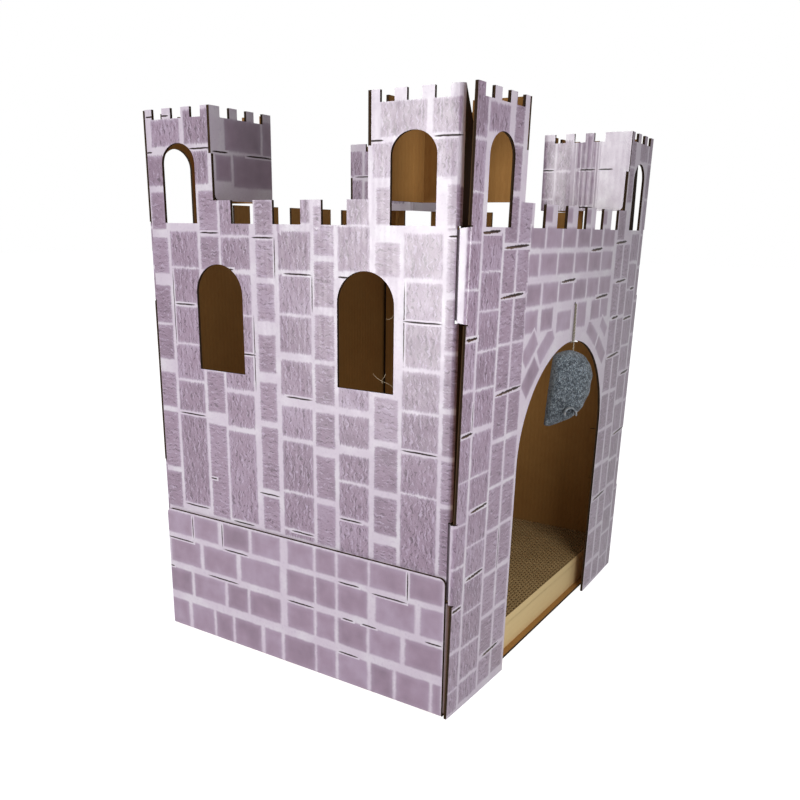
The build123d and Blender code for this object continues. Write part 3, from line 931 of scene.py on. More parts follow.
def side_wall_mesh(name, materials, side):
    """Side wall: the flat sheet's distance runs from the back fold to the front fold along the outer face."""
    fold_x, flap_x = side * SIDE_HALF, side * (SIDE_HALF - FLAP_WIDTH)
    front, back = SIDE_LOW[1], SIDE_HIGH[1]
    path = FoldPath(((flap_x, back), (fold_x, back), (fold_x, front), (flap_x, front)), FOLD_RADIUS)
    # The distance is zero at the back fold's outer corner
    shift = path.folds[0][1] - FOLD_RADIUS
    flap_start, flap_end = -shift, path.length - shift
    bend = path.folds[1][1] - shift
    half = BODY_DEPTH / 2
    outline = np.array([
        (flap_start, SIDE_LOW[2]), (flap_end, SIDE_LOW[2]), (flap_end, TOWER_TOP - FLAP_DROP),
        (bend, TOWER_TOP), *((x + half, z) for x, z in wall_top(half - TOWER_WIDTH, half, SIDE_GAPS)),
        (BODY_DEPTH - bend, TOWER_TOP), (flap_start, TOWER_TOP - FLAP_DROP)])
    holes = tower_windows((TOWER_WIDTH / 2, BODY_DEPTH - TOWER_WIDTH / 2))
    window_middle = SIDE_WINDOW_INSET + SIDE_WINDOW[0] / 2
    for middle in (window_middle, BODY_DEPTH - window_middle):
        holes.append(arched_loop(middle, SIDE_WINDOW_SILL, SIDE_WINDOW))
    for low in TAB_LEVELS:
        for middle in (-CARD / 2, BODY_DEPTH + CARD / 2):
            across = (middle - SLOT_HALF, middle + SLOT_HALF)
            holes.append(box_loop(*across, low - SLIP, low + TAB_HEIGHT + SLIP))
    marks = brick_marks(SIDE_COLUMNS, (), SIDE_CRACKS, SIDE_UPRIGHT_CRACKS, seed=11 if side < 0 else 12)

    def place(distance, height):
        where, heading = path.at(distance + shift)
        outward = np.column_stack((heading[:, 1], -heading[:, 0], np.zeros(len(height)))) * -side
        return np.column_stack((where, height)), outward

    # Beyond the print the glue flaps take the darkened liner, painted shade for the narrow gaps at the
    # corners
    def bare(distance):
        return np.where(np.abs(distance - half) > half + FOLD_PRINT, FLAP_SHADE, PRINTED)

    folds = [v - shift for v in path.fold_lines()]
    return build_sheet(name, materials, outline, holes, marks, place, folds, bare)


def end_wall_mesh(name, materials, end):
    """Front or back wall: the distance runs across the outer face from its middle, to the right as seen from
    outside. The wall bows outwards and the front one leans too: its outward place is the slope times the
    height plus the bow times one minus the square of the distance's share. Tabs fold back at both edges.
    Their plan is a run, a slanted run where they step in, and a run, with mitred normals at the two kinks.
    """
    front = end < 0
    edge, radius, bow, slope = END_SHAPES[end]
    fold = edge - radius
    bent = fold + radius * math.pi / 2
    step_start, step_end = TAB_STEP
    step_in = edge - TAB_HALF
    slant = math.hypot(step_in, step_start - step_end)
    half_turn = math.atan2(step_in, step_start - step_end) / 2
    tabs = []
    right = []
    for low in TAB_LEVELS:
        high = low + TAB_HEIGHT
        # Length of the run between the fold and the step, at the tab's middle
        run = slope * (low + high) / 2 + WALL_CLEAR - step_start - radius
        tabs.append((low, high, run))
        reach = bent + run + slant + TAB_DEPTH - WALL_CLEAR + step_end - slope * low
        right += [(edge, low - SLIT), (fold, low - SLIT), (fold, low), (reach, low + TAB_TAPER),
                  (reach, high - TAB_TAPER), (fold, high), (fold, high + SLIT), (edge, high + SLIT)]
    right.append((edge, TOWER_TOP))
    inner = SIDE_HALF - TOWER_WIDTH
    window_middle = (inner + edge) / 2
    holes = tower_windows((window_middle, -window_middle))
    if front:
        door = arched_loop(0, 0, DOORWAY, 48)
        foot = [(-edge, 0), door[0], *door[:1:-1], door[1], (edge, 0)]
        holes.append(arc_points((0, HOLE_LEVEL), HOLE_RADIUS, HOLE_RADIUS, 0, 345, 24))
        marks = brick_marks(FRONT_COLUMNS, FRONT_ROWS, FRONT_CRACKS, FRONT_UPRIGHT_CRACKS, FRONT_WEDGES,
                            21, FRONT_CRACK_HALF)
    else:
        foot = [(-edge, 0), (edge, 0)]
        marks = brick_marks(FRONT_COLUMNS, BACK_ROWS + FRONT_ROWS[:1], FRONT_CRACKS[:4], seed=22)
    outline = np.array(foot + right + wall_top(inner, edge, FRONT_GAPS) + [(-x, z) for x, z in right[::-1]])

    def place(distance, height):
        side = np.sign(distance)
        away = np.abs(distance)
        face = WALL_CLEAR + slope * height
        x, out = away.copy(), face + bow * (1 - np.clip(away / edge, 0, 1) ** 2)
        normal_x, normal_out = np.zeros_like(away), np.ones_like(away)
        turn = np.clip((away - fold) / radius, 0, math.pi / 2)
        sine, cosine = np.sin(turn), np.cos(turn)
        past = away - bent
        for low, high, run in tabs:
            # Steps along the tab: 0 to 1 on its run, 1 to 2 on its slant, stretched so that the step
            # starts at one depth at every height
            along = np.interp(past, (0, run, run + slant), (0, 1, 2)) + np.clip(past - run - slant, 0, None)
            start = face - radius
            depth = np.where(
                along < 1, start + (step_start - start) * along,
                np.where(along < 2, step_start + (step_end - step_start) * (along - 1), step_end - along + 2))
            # Mitred normals: their length is one over the half angle's cosine at each kink
            kink = (np.abs(along - 1) < 1e-3) | (np.abs(along - 2) < 1e-3)
            slanted = (along > 1) & (along < 2) & ~kink
            angle = np.where(kink, half_turn, np.where(slanted, 2 * half_turn, 0))
            size = np.where(kink, 1 / math.cos(half_turn), 1.0)
            on_arc = (fold + radius * sine, face - radius * (1 - cosine), sine, cosine)
            past_arc = (edge - step_in * np.clip(along - 1, 0, 1), depth,
                        np.cos(angle) * size, -np.sin(angle) * size)
            tab = np.where(past < 0, on_arc, past_arc)
            on_tab = (height > low - SLIT / 2) & (height < high + SLIT / 2) & (away > fold)
            x, out, normal_x, normal_out = np.where(on_tab, tab, (x, out, normal_x, normal_out))
        points = np.column_stack((-end * side * x, end * (BODY_DEPTH / 2 + out), height))
        return points, np.column_stack((-end * side * normal_x, end * normal_out, np.zeros(len(height))))

    lines = list(fold + np.linspace(0, radius * math.pi / 2, 4))
    for _, _, run in tabs:
        lines += [bent + run, bent + run + slant]
    lines = [s * v for s in (-1, 1) for v in lines]
    return build_sheet(name, materials, outline, holes, marks, place, lines)


def rounded_corner(x, y, start):
    """Quarter round of a card's corner about a point, from an angle in degrees."""
    return arc_points((x, y), CORNER_ROUND, CORNER_ROUND, start, start + 90, 6)


def corner_mesh(name, materials, side, end):
    """Inner corner piece of a tower: two panels, printed on the side towards the castle's middle.

    The distance starts at the side wall's outer face, turns at the panels' bend and ends at the end wall's
    outer face. The ends' lower halves stop short by one notch, with rounded lower corners.
    """
    inner_x, inner_y = SIDE_HALF - TOWER_WIDTH, BODY_DEPTH / 2 - TOWER_WIDTH
    path = FoldPath(((SIDE_HALF, inner_y), (inner_x, inner_y), (inner_x, BODY_DEPTH)), FOLD_RADIUS)
    # Length that the rounded bend saves
    saved = 2 * FOLD_RADIUS - FOLD_RADIUS * math.pi / 2
    edge, _, bow, slope = END_SHAPES[end]
    outer_y = BODY_DEPTH / 2 + WALL_CLEAR + bow * (1 - (inner_x / edge) ** 2)

    def end_at(height):
        return TOWER_WIDTH - saved + outer_y + slope * height - inner_y

    merlons = merlon_edges(NOTCH, TOWER_WIDTH - FOLD_RADIUS, MERLON_COUNT, PANEL_MERLON)
    gaps = np.vstack((merlons, 2 * TOWER_WIDTH - saved - merlons[::-1, ::-1]))
    top_end = end_at(TOWER_TOP)
    top = []
    battlement(top, gaps, TOWER_TOP, TOWER_TOP - MERLON_HEIGHT)
    foot = PARAPET_TOP + CORNER_ROUND
    outline = np.array([
        *rounded_corner(NOTCH + CORNER_ROUND, foot, 180),
        *rounded_corner(end_at(PARAPET_TOP) - NOTCH - CORNER_ROUND, foot, 270),
        (end_at(SHOULDER) - NOTCH, SHOULDER), (end_at(SHOULDER), SHOULDER), (top_end, TOWER_TOP),
        *top[::-1],
        (0, TOWER_TOP), (0, SHOULDER), (NOTCH, SHOULDER)])
    crumpled = (side, end) == (1, -1)
    columns, cracks = {(1, -1): FRONT_RIGHT_PRINT, (-1, 1): BACK_LEFT_PRINT}.get((side, end), CORNER_PRINT)
    marks = brick_marks(columns, cracks=cracks, seed=31 + 2 * (side > 0) + (end > 0))

    def place(distance, height):
        where, heading = path.at(distance)
        outward = np.column_stack((-heading[:, 1], heading[:, 0]))
        if crumpled:
            past = distance - TOWER_WIDTH
            fade_in, fade_out = WRINKLE_FADES
            share = np.clip((past - WRINKLE_START) / fade_in, 0, 1)
            share = share * np.clip((WRINKLE_END - past) / fade_out, WRINKLE_LEAST, 1)
            wave = 1 + np.cos(2 * math.pi * distance / WRINKLE_PITCH)
            where = where - outward * (WRINKLE_DEPTH * share * wave)[:, None] / 2
        flip = np.array((side, end))
        points = np.column_stack((where * flip, height))
        return points, np.column_stack((outward * flip, np.zeros(len(height))))

    lines = path.fold_lines()
    if crumpled:
        lines += list(np.arange(TOWER_WIDTH + WRINKLE_START + 2, top_end, WRINKLE_STEP))
    return build_sheet(name, materials, outline, [], marks, place, lines)


def tray_mesh(name, materials):
    """Base sheet: the distance runs up and down the section across the castle, the height along its depth."""
    rise, half = BAND_HEIGHT, TRAY_HIGH[0]
    path = FoldPath(((-half, rise), (-half, 0), (half, 0), (half, rise)), CARD + SLIP)
    left, right = CORNER_ROUND, path.length - CORNER_ROUND
    front, back = TRAY_LOW[1] + CORNER_ROUND, TRAY_HIGH[1] - CORNER_ROUND
    outline = np.vstack((
        rounded_corner(left, front, 180), rounded_corner(right, front, 270),
        rounded_corner(right, back, 0), rounded_corner(left, back, 90)))
    # The band's print: its level counts down from the band's top edge, its distance from the back
    start = SIDE_HIGH[1]
    marks = [
        (rise - (low + high) / 2, start - (near + far) / 2, (high - low) / 2, (far - near) / 2, 0, SMOOTH)
        for low, high, spans in BAND_ROWS for near, far in spans]
    marks += [(rise - level, start - (near + far) / 2, (far - near) / 2, CRACK_HALF, 90, CRACK)
              for near, far, level in BAND_CRACKS]
    marks += [(rise - (low + high) / 2, start - across, (high - low) / 2, BAND_UPRIGHT_HALF, 0, CRACK)
              for across, low, high in BAND_UPRIGHT_CRACKS]
    marks = np.array(marks)
    mirrored = marks.copy()
    mirrored[:, 0] = path.length - mirrored[:, 0]
    marks = np.vstack((marks, mirrored))
    marks = np.column_stack((marks, np.random.default_rng(41).random(len(marks))))

    def place(distance, depth):
        where, heading = path.at(distance)
        points = np.column_stack((where[:, 0], depth, where[:, 1]))
        return points, np.column_stack((heading[:, 1], np.zeros(len(depth)), -heading[:, 0]))

    def bare(distance):
        return np.where((distance > rise) & (distance < path.length - rise), BROWN, PRINTED)

    return build_sheet(name, materials, outline, [], marks, place, path.fold_lines(), bare)


def add_board(context, node, make, *places):
    """Piece of printed board that takes the place of a CAD node."""
    name = node + "_board"
    mesh = make(name, board_materials(context.scene), *places)
    add_object(name, mesh, "castle", "printed_board", node)


class CASTLE_OT_end_walls(bpy.types.Operator):
    """Make the front wall with its doorway, and the back wall"""
    bl_idname = "castle.end_walls"
    bl_label = "End walls"

    def execute(self, context):
        add_board(context, "front_wall", end_wall_mesh, -1)
        add_board(context, "back_wall", end_wall_mesh, 1)
        return {"FINISHED"}


class CASTLE_OT_side_walls(bpy.types.Operator):
    """Make the two side walls with their glue flaps"""
    bl_idname = "castle.side_walls"
    bl_label = "Side walls"

    def execute(self, context):
        add_board(context, "left_wall", side_wall_mesh, -1)
        add_board(context, "right_wall", side_wall_mesh, 1)
        return {"FINISHED"}


class CASTLE_OT_tower_corners(bpy.types.Operator):
    """Make the four inner corner pieces of the towers"""
    bl_idname = "castle.tower_corners"
    bl_label = "Tower corners"

    def execute(self, context):
        for end, end_name in ((-1, "front"), (1, "back")):
            for side, side_name in ((-1, "left"), (1, "right")):
                add_board(context, f"tower_corner_{end_name}_{side_name}", corner_mesh, side, end)
        return {"FINISHED"}


class CASTLE_OT_base_tray(bpy.types.Operator):
    """Make the base sheet with its printed side flaps"""
    bl_idname = "castle.base_tray"
    bl_label = "Base sheet"

    def execute(self, context):
        add_board(context, "base_tray", tray_mesh)
        return {"FINISHED"}


# Scratch pad: depth of its channels, and thicknesses of the flat and the fluted paper
PAD_CHANNEL = 9.0
PAD_LINER = 0.7
PAD_MEDIUM = 0.42
# How far the paper goes into the block, how far the fluted one stays back, and points for each flute
PAD_SUNK = 0.5
PAD_END_GAP = 0.2
PAD_TOP_GAP = 0.15
PAD_STEPS = 6


def pad_mesh(name):
    """Scratch pad: flat liners and fluted middle sheets on edge, standing on a solid block.

    A fluted sheet's middle line is a sine of the distance along the strip; each sheet is an upright ribbon
    with two sides and a top, so its section is a profile carried along that line.
    """
    (left, front, foot), (right, back, top) = PAD_LOW, PAD_HIGH
    count = int((back - front - PAD_LINER) // PAD_STRIP)
    base = top - PAD_CHANNEL - PAD_SUNK
    vertices, faces = [], []

    def add(points, quads):
        faces.append(quads + sum(map(len, vertices)))
        vertices.append(points)

    cube = np.array([(x, y, z) for x in (0, 1) for y in (0, 1) for z in (0, 1)], float)
    cube_faces = np.array((
        (0, 1, 3, 2), (4, 6, 7, 5), (0, 4, 5, 1), (2, 3, 7, 6), (0, 2, 6, 4), (1, 5, 7, 3)))

    def add_box(*corners):
        start, end = np.array(corners)
        add(start + cube * (end - start), cube_faces)

    add_box((left, front, foot), (right, back, top - PAD_CHANNEL))
    for y in front + np.arange(count + 1) * PAD_STRIP:
        add_box((left, y, base), (right, y + PAD_LINER, top))
    segments = int((right - left) / PAD_FLUTE * PAD_STEPS)
    along = np.linspace(left + PAD_END_GAP, right - PAD_END_GAP, segments + 1)
    room = PAD_STRIP - PAD_LINER
    first = np.arange(segments)[:, None] * 4
    quads = np.concatenate([first + (k, 4 + k, 5 + k, k + 1) for k in range(3)])
    for i in range(count):
        middle = front + PAD_LINER + i * PAD_STRIP + room / 2
        # Each sheet starts at another place of its wave
        phase = 2.4 * math.sin(i * 2.1) + 0.8 * i
        line = middle + (room - PAD_MEDIUM) / 2 * np.sin(2 * math.pi * along / PAD_FLUTE + phase)
        rings = np.empty((len(along), 4, 3))
        rings[..., 0] = along[:, None]
        rings[..., 1] = line[:, None] + np.array((-1, -1, 1, 1)) * PAD_MEDIUM / 2
        rings[..., 2] = (base, top - PAD_TOP_GAP, top - PAD_TOP_GAP, base)
        add(rings.reshape(-1, 3), quads)
    return new_mesh(name, np.vstack(vertices) * MM, np.vstack(faces).tolist())


def pad_material(name, settings):
    """Raw board of the pad: pale cut edges on top, fibres on the sides, painted shade down in the flutes, and
    the front liner painted paler as painted light.
    """
    material, net = new_material(name)
    x, y, z = net.split(net.spot(1 / MM))
    across = y + z
    fibres = net.group(kraft_fibres, {
        "Place": net.join(across, x), "Wave": flute_wave(net, across, PAD_FLUTE), "Board": settings.pad,
        "Shade": settings.pad_dark})
    # Everything behind the front liner, which hides the flutes, and what lies down in the channels, where the
    # flute colour is laid over as painted shade
    behind = net.step(y, PAD_LOW[1] + 0.05, PAD_LOW[1] + 0.3)
    channel_shade = net.step(z, PAD_HIGH[2] - 0.2, PAD_HIGH[2] - 4.0) * behind
    # Painted light: the front liner gets the paler copy of the pad's board
    colour = net.mix(behind, settings.pad_front, fibres["Color"])
    colour = net.mix(channel_shade * 0.97, colour, settings.flute)
    dress(net, colour, 0.9, 0.2, (fibres["Height"], 0.2 * MM, 0.4))
    return material


class CASTLE_OT_scratch_pad(bpy.types.Operator):
    """Make the scratch pad from strips of corrugated board on edge"""
    bl_idname = "castle.scratch_pad"
    bl_label = "Scratch pad"

    def execute(self, context):
        mesh = pad_mesh("scratch_pad_strips")
        mesh.materials.append(pad_material("pad_strips", context.scene.castle_print))
        add_object("scratch_pad_strips", mesh, "castle", "scratch_board", "scratch_pad")
        return {"FINISHED"}


# String: how far a strand's centre lies from the twine's, and its own radius, as shares of the twine's
STRAND_OFFSET = 0.5
STRAND_RADIUS = 0.52
TWINE_PITCH = 3.6
# The loop is drawn tight round the board, so its twine is thinner and its turns closer
LOOP_SHARE = 0.9
LOOP_PITCH = 3.2
LOOP_ROUND = 1.4


def travelled_along(path):
    """Distance from a path's start to each of its points."""
    return np.concatenate(((0.0,), np.cumsum(np.linalg.norm(np.diff(path, axis=0), axis=1))))


def ring_quads(rings, sides):
    """Faces between closed rings of points, one after another."""
    near = np.arange(rings - 1)[:, None] * sides + np.arange(sides)
    far = np.arange(rings - 1)[:, None] * sides + (np.arange(sides) + 1) % sides
    return np.stack((near, far, far + sides, near + sides), axis=2).reshape(-1, 4)


def twisted_strands(name, materials, path, radius, pitch, sides=8):
    """Twine along a path, with one strand for each material: the strand's centre circles the path, once for
    each pitch, and a ring of points round that centre is carried along it. path is an array of places."""
    tangent = np.gradient(path, axis=0)
    tangent /= np.linalg.norm(tangent, axis=1)[:, None]
    normal = np.cross(tangent, (1.0, 0.0, 0.0))
    normal /= np.linalg.norm(normal, axis=1)[:, None]
    binormal = np.cross(tangent, normal)

    def around(angle):
        return np.cos(angle)[..., None] * normal[:, None] + np.sin(angle)[..., None] * binormal[:, None]

    count = len(path) * sides
    ring = 2 * math.pi * np.arange(sides) / sides
    side_faces = ring_quads(len(path), sides)
    vertices, faces = [], []
    for strand in range(len(materials)):
        angle = 2 * math.pi * (travelled_along(path) / pitch + strand / len(materials))
        centre = path[:, None] + radius * STRAND_OFFSET * around(angle[:, None])
        vertices.append((centre + radius * STRAND_RADIUS * around(ring[None])).reshape(-1, 3))
        start = strand * count
        faces += (start + side_faces).tolist()
        faces += [list(range(start, start + sides))[::-1], list(range(start + count - sides, start + count))]
    slots = np.repeat(range(len(materials)), len(faces) // len(materials))
    mesh = new_mesh(name, np.vstack(vertices), faces, smooth=True, slots=slots)
    for material in materials:
        mesh.materials.append(material)
    return mesh


def spline_points(route):
    """Places along the NURBS spline of a route, read from a curve without a bevel."""
    curve = bpy.data.curves.new("route", "CURVE")
    curve.dimensions = "3D"
    spline = curve.splines.new("NURBS")
    spline.points.add(len(route) - 1)
    spline.points.foreach_set("co", np.column_stack((np.array(route), np.ones(len(route)))).ravel())
    spline.order_u = 3
    spline.use_endpoint_u = True
    spline.resolution_u = 64
    holder = bpy.data.objects.new("route", curve)
    mesh = bpy.data.meshes.new_from_object(holder)
    points = np.empty(3 * len(mesh.vertices), np.float32)
    mesh.vertices.foreach_get("co", points)
    bpy.data.objects.remove(holder)
    bpy.data.curves.remove(curve)
    bpy.data.meshes.remove(mesh)
    return points.reshape(-1, 3).astype(float)


def twine_material(name, colour, shade):
    material, net = new_material(name)
    fibre = net.noise(net.spot((2600.0, 2600.0, 700.0)), 1.0, 3.0, 0.7)
    dress(net, net.mix(fibre, shade, colour), 0.9, 0.5, (fibre, 0.2 * MM, 0.7))
    return material


def loop_path(across, clear, crown):
    """Points round the board between the hole and the doorway's crown: four straight runs with rounded
    corners, each point a corner's centre plus its radius at even angles. The ring leans with the wall."""
    middle = FRONT_FOOT - FRONT_BOW - FRONT_SLOPE * HOLE_LEVEL + CARD / 2
    reach = CARD / 2 + clear - LOOP_ROUND
    top, foot = HOLE_LEVEL - LOOP_ROUND, crown - clear + LOOP_ROUND
    ring = np.vstack([
        arc_points((middle + side * reach, level), LOOP_ROUND, LOOP_ROUND, start, start - 90, 8)
        for side, level, start in ((-1, top, 180), (1, top, 90), (1, foot, 360), (-1, foot, 270))])
    depth, height = np.vstack((ring[-1:], ring)).T
    depth = depth - (height - HOLE_LEVEL) * FRONT_SLOPE
    path = np.column_stack((np.full(len(depth), across), depth, height))
    steps = travelled_along(path)
    even = np.linspace(0, steps[-1], 260)
    return np.column_stack([np.interp(even, steps, part) for part in path.T]) * MM


class CASTLE_OT_string(bpy.types.Operator):
    """Make the string: its loop through the wall and the strand that carries the mouse"""
    bl_idname = "castle.string"
    bl_label = "String"

    def execute(self, context):
        toy = context.scene.castle_toy
        radius = toy.twine_radius
        shadow = [v / 2 for v in toy.twine_dark]
        pale = shared_material("twine_pale", twine_material, toy.twine, toy.twine_dark)
        dark = shared_material("twine_dark", twine_material, toy.twine_dark, shadow)
        loop_low, loop_high = node_box("string_loop")
        path = loop_path((loop_low[0] + loop_high[0]) / 2, radius / MM + SLIP, DOORWAY[1])
        mesh = twisted_strands("string_loop_twine", (dark, dark), path, radius * LOOP_SHARE, LOOP_PITCH * MM)
        add_object("string_loop_twine", mesh, "castle", "string", "string_loop")
        low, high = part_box("toy_string")
        middle = (low + high) / 2
        path = spline_points([(middle.x, middle.y, z) for z in np.linspace(high.z, low.z, 4)])
        mesh = twisted_strands("toy_string_twine", (pale, dark), path, radius, TWINE_PITCH * MM)
        piece = add_object("toy_string_twine", mesh, "toy", "string", "toy_string")
        return {"FINISHED"}


# Loose paper fibres at the edge of the left wall's front window: routes along the depth and the height
FIBRE_ROUTES = (
    ((-121.5, 317.6), (-115, 320.9), (-109.5, 322.1), (-105.1, 323.5), (-101.7, 325), (-98.4, 328.4)),
    ((-112.2, 329.8), (-111.4, 326.9), (-107.3, 322.8), (-108.4, 320.2)),
    ((-121.5, 384), (-118.6, 380.8), (-115.4, 378.8), (-112.2, 379.5)),
)
FIBRE_RADIUS = 0.28
FIBRE_PITCH = 12.0


class CASTLE_OT_paper_fibres(bpy.types.Operator):
    """Make the loose paper fibres at a window's cut edge"""
    bl_idname = "castle.paper_fibres"
    bl_label = "Paper fibres"

    def execute(self, context):
        settings = context.scene.castle_print
        paper = shared_material("paper_fibre", twine_material, settings.fibre, settings.pad)
        across = -SIDE_HALF + CARD / 2
        for number, route in enumerate(FIBRE_ROUTES, 1):
            name = f"window_fibre_{number}"
            path = spline_points([(across * MM, depth * MM, height * MM) for depth, height in route])
            mesh = twisted_strands(name, (paper,), path, FIBRE_RADIUS * MM, FIBRE_PITCH * MM, 5)
            add_object(name, mesh, "castle", "printed_board")
        return {"FINISHED"}


# Felt mouse
UP = np.array((0, 0, 1.0))


def mouse_frame():
    """Tail point and the directions of the back and of the mouse's side, in metres."""
    low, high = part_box("toy_string")
    tail = np.array(((low.x + high.x) / 2, (low.y + high.y) / 2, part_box("mouse_body")[1].z))
    cosine, sine = math.cos(math.radians(MOUSE_TURN)), math.sin(math.radians(MOUSE_TURN))
    return tail, np.array((cosine, sine, 0.0)), np.array((-sine, cosine, 0.0))


def mouse_section(level):
    """Belly, back and half thickness at each level, from the rows, smoothed by a short running mean."""
    fine = np.linspace(0, MOUSE_ROWS[-1, 0], 400)
    width = 31
    kernel = np.hanning(width + 2)[1:-1]
    kernel /= kernel.sum()
    out = []
    for k in (1, 2, 3):
        row = np.interp(fine, MOUSE_ROWS[:, 0], MOUSE_ROWS[:, k])
        padded = np.concatenate((np.full(width // 2, row[0]), row, np.full(width // 2, row[-1])))
        out.append(np.interp(level, fine, np.convolve(padded, kernel, mode="valid")))
    return out


def mouse_mesh(name, rings=110, sides=96):
    """Mouse body: for each level a D-shaped section, flat at the belly and round at the back.

    The section's place is the belly line plus a share of the depth times the cosine, and the half thickness
    times a power of the sine. The share closes to a point at tail and nose as the root of the distance."""
    tail, back, side = mouse_frame()
    depth = MOUSE_ROWS[-1, 0]
    level = depth * (1 - np.cos(math.pi * np.linspace(0, 1, rings))) / 2
    belly, spine, half = mouse_section(level)
    tail_round, nose_round = 5.0, 3.0
    close = np.sqrt(np.clip(np.minimum(level / tail_round, (depth - level) / nose_round), 0, 1))
    close = np.sin(close * math.pi / 2)
    middle = (belly + spine) / 2
    belly = middle + (belly - middle) * close
    spine = middle + (spine - middle) * close
    half = half * close
    around = 2 * math.pi * np.arange(sides) / sides
    c, d = np.cos(around), np.sin(around)
    # Share of the section that lies on the belly's side of its widest line
    flat = 0.16
    hinge = belly + flat * (spine - belly)
    reach = np.where(c > 0, 1 - flat, flat) * (spine - belly)[:, None]
    x = hinge[:, None] + reach * np.sign(c) * np.abs(c) ** np.where(c > 0, 1.0, 0.8)
    # Lumps of the stuffing, 0.45 mm high
    x = x + 0.45 * np.sin(0.31 * level)[:, None] * np.sin(3 * around + 1.3) * close[:, None]
    y = half[:, None] * (np.sign(d) * np.abs(d) ** 0.82)
    points = tail + (x[..., None] * back + y[..., None] * side) * MM - level[:, None, None] * UP * MM
    quads = ring_quads(rings, sides)[:, (0, 3, 2, 1)]
    mesh = new_mesh(name, points.reshape(-1, 3), quads.tolist(), smooth=True)
    weld(mesh, 1e-6)
    return mesh


def weld(mesh, distance):
    """Merges doubled points, such as a pole's, and turns the faces outwards."""
    work = bmesh.new()
    work.from_mesh(mesh)
    bmesh.ops.remove_doubles(work, verts=work.verts, dist=distance)
    bmesh.ops.recalc_face_normals(work, faces=work.faces)
    work.to_mesh(mesh)
    work.free()
    mesh.update()


def felt_material(name, felt, light, dark):
    """Felt: matted wool in a main colour with lighter and darker fibres and clumps, and a soft sheen."""
    material, net = new_material(name)
    spot = net.spot(1 / MM)
    fine = net.noise(spot, 0.95, 3.0, 0.6)
    coarse = net.noise(spot + (31.0, 7.0, 3.0), 0.22, 3.0, 0.6)
    wool = net.noise(spot * (1.1, 1.1, 0.45), 1.1, 3.0, 0.6)
    clump = net.noise(spot + (5.0, 17.0, 9.0), 0.42, 3.0, 0.7)
    colour = net.mix(net.step(fine, 0.42, 0.56), dark, felt)
    colour = net.mix(net.step(wool, 0.5, 0.66) * 0.8, colour, light)
    colour = net.mix(net.step(coarse, 0.55, 0.38) * 0.75, colour, dark)
    colour = net.mix(net.step(clump, 0.56, 0.7) * 0.7, colour, light)
    colour = net.mix(net.step(clump, 0.45, 0.32) * 0.8, colour, dark)
    dress(net, colour, 0.95, 0.1, (fine + wool, 0.9 * MM, 0.9), Sheen_Weight=0.35, Sheen_Roughness=0.6)
    return material


def mesh_values(items, label, width, kind=np.float32):
    """Array of one property of a mesh's vertices or triangles."""
    values = np.empty(len(items) * width, kind)
    items.foreach_get(label, values)
    return values.reshape(-1, width)


def fibre_mesh(name, surface, count, length, seed):
    """Loose fibres: thin strips on random spots of a surface, leaning at random.

    Spots are drawn with the triangles' areas as weights; each fibre has a root, a bend and a tip, and the
    places are the root plus shares of the length along the normal and a random sideways direction."""
    surface.calc_loop_triangles()
    corner = mesh_values(surface.loop_triangles, "vertices", 3, np.int32)
    area = mesh_values(surface.loop_triangles, "area", 1)[:, 0]
    points = mesh_values(surface.vertices, "co", 3)
    chance = np.random.default_rng(seed)
    start, first, second = points[corner[chance.choice(len(area), count, p=area / area.sum())]].swapaxes(0, 1)
    share = chance.random((count, 2))
    share = np.where(share.sum(axis=1, keepdims=True) > 1, 1 - share, share)
    root = start + share[:, :1] * (first - start) + share[:, 1:] * (second - start)
    normal = np.cross(first - start, second - start)
    normal /= np.linalg.norm(normal, axis=1)[:, None] + 1e-12
    sideways = np.cross(normal, chance.normal(size=(count, 3)))
    sideways /= np.linalg.norm(sideways, axis=1)[:, None]
    thick = WOOL_RADIUS * MM * np.cross(normal, sideways)
    reach = length * chance.uniform(WOOL_SHORTEST, 1.0, (count, 1))
    bend, tip = (root + reach * (up * normal + out * sideways) for up, out in WOOL_BENDS)
    strip = np.stack((root - thick, root + thick, bend + thick, bend - thick, tip), axis=1).reshape(-1, 3)
    row = np.arange(count)[:, None] * 5
    return new_mesh(name, strip, (row + (0, 1, 2, 3)).tolist() + (row + (3, 2, 4)).tolist())


def ear_mesh(name, side_sign):
    """Ear: a strip of felt bent to an arch, a ring of radius and felt thickness carried out from the head.

    The section goes round the outside at even angles and back round the inside; it flares a little outwards,
    and its rim is rounded in."""
    tail, back, side = mouse_frame()
    angles = np.radians(np.linspace(90 - EAR_SWEEP / 2, 90 + EAR_SWEEP / 2, 26))
    outer = np.column_stack((np.cos(angles), np.sin(angles)))
    section = np.vstack((outer * (EAR_RADIUS + EAR_FELT / 2), outer[::-1] * (EAR_RADIUS - EAR_FELT / 2)))
    outs = np.linspace(EAR_ROOT, EAR_REACH, 9)
    flare, rim = 0.1, 0.97
    grow = 1 - flare + flare * ((outs - EAR_ROOT) / (EAR_REACH - EAR_ROOT)) ** 2
    grow[-1] *= rim
    x = EAR_SETBACK + section[:, 0] * grow[:, None]
    y = side_sign * np.broadcast_to(outs[:, None], x.shape)
    z = -EAR_LEVEL + section[:, 1] * grow[:, None]
    points = tail + (x[..., None] * back + y[..., None] * side + z[..., None] * UP) * MM
    sides = len(section)
    cap = np.arange(sides // 2 - 1)
    caps = [start + np.column_stack((cap, cap + 1, sides - 2 - cap, sides - 1 - cap))
            for start in (0, (len(outs) - 1) * sides)]
    faces = np.vstack((ring_quads(len(outs), sides), *caps))
    mesh = new_mesh(name, points.reshape(-1, 3), faces.tolist(), smooth=True)
    weld(mesh, 1e-7)
    mesh.set_sharp_from_angle(angle=math.radians(40))
    return mesh


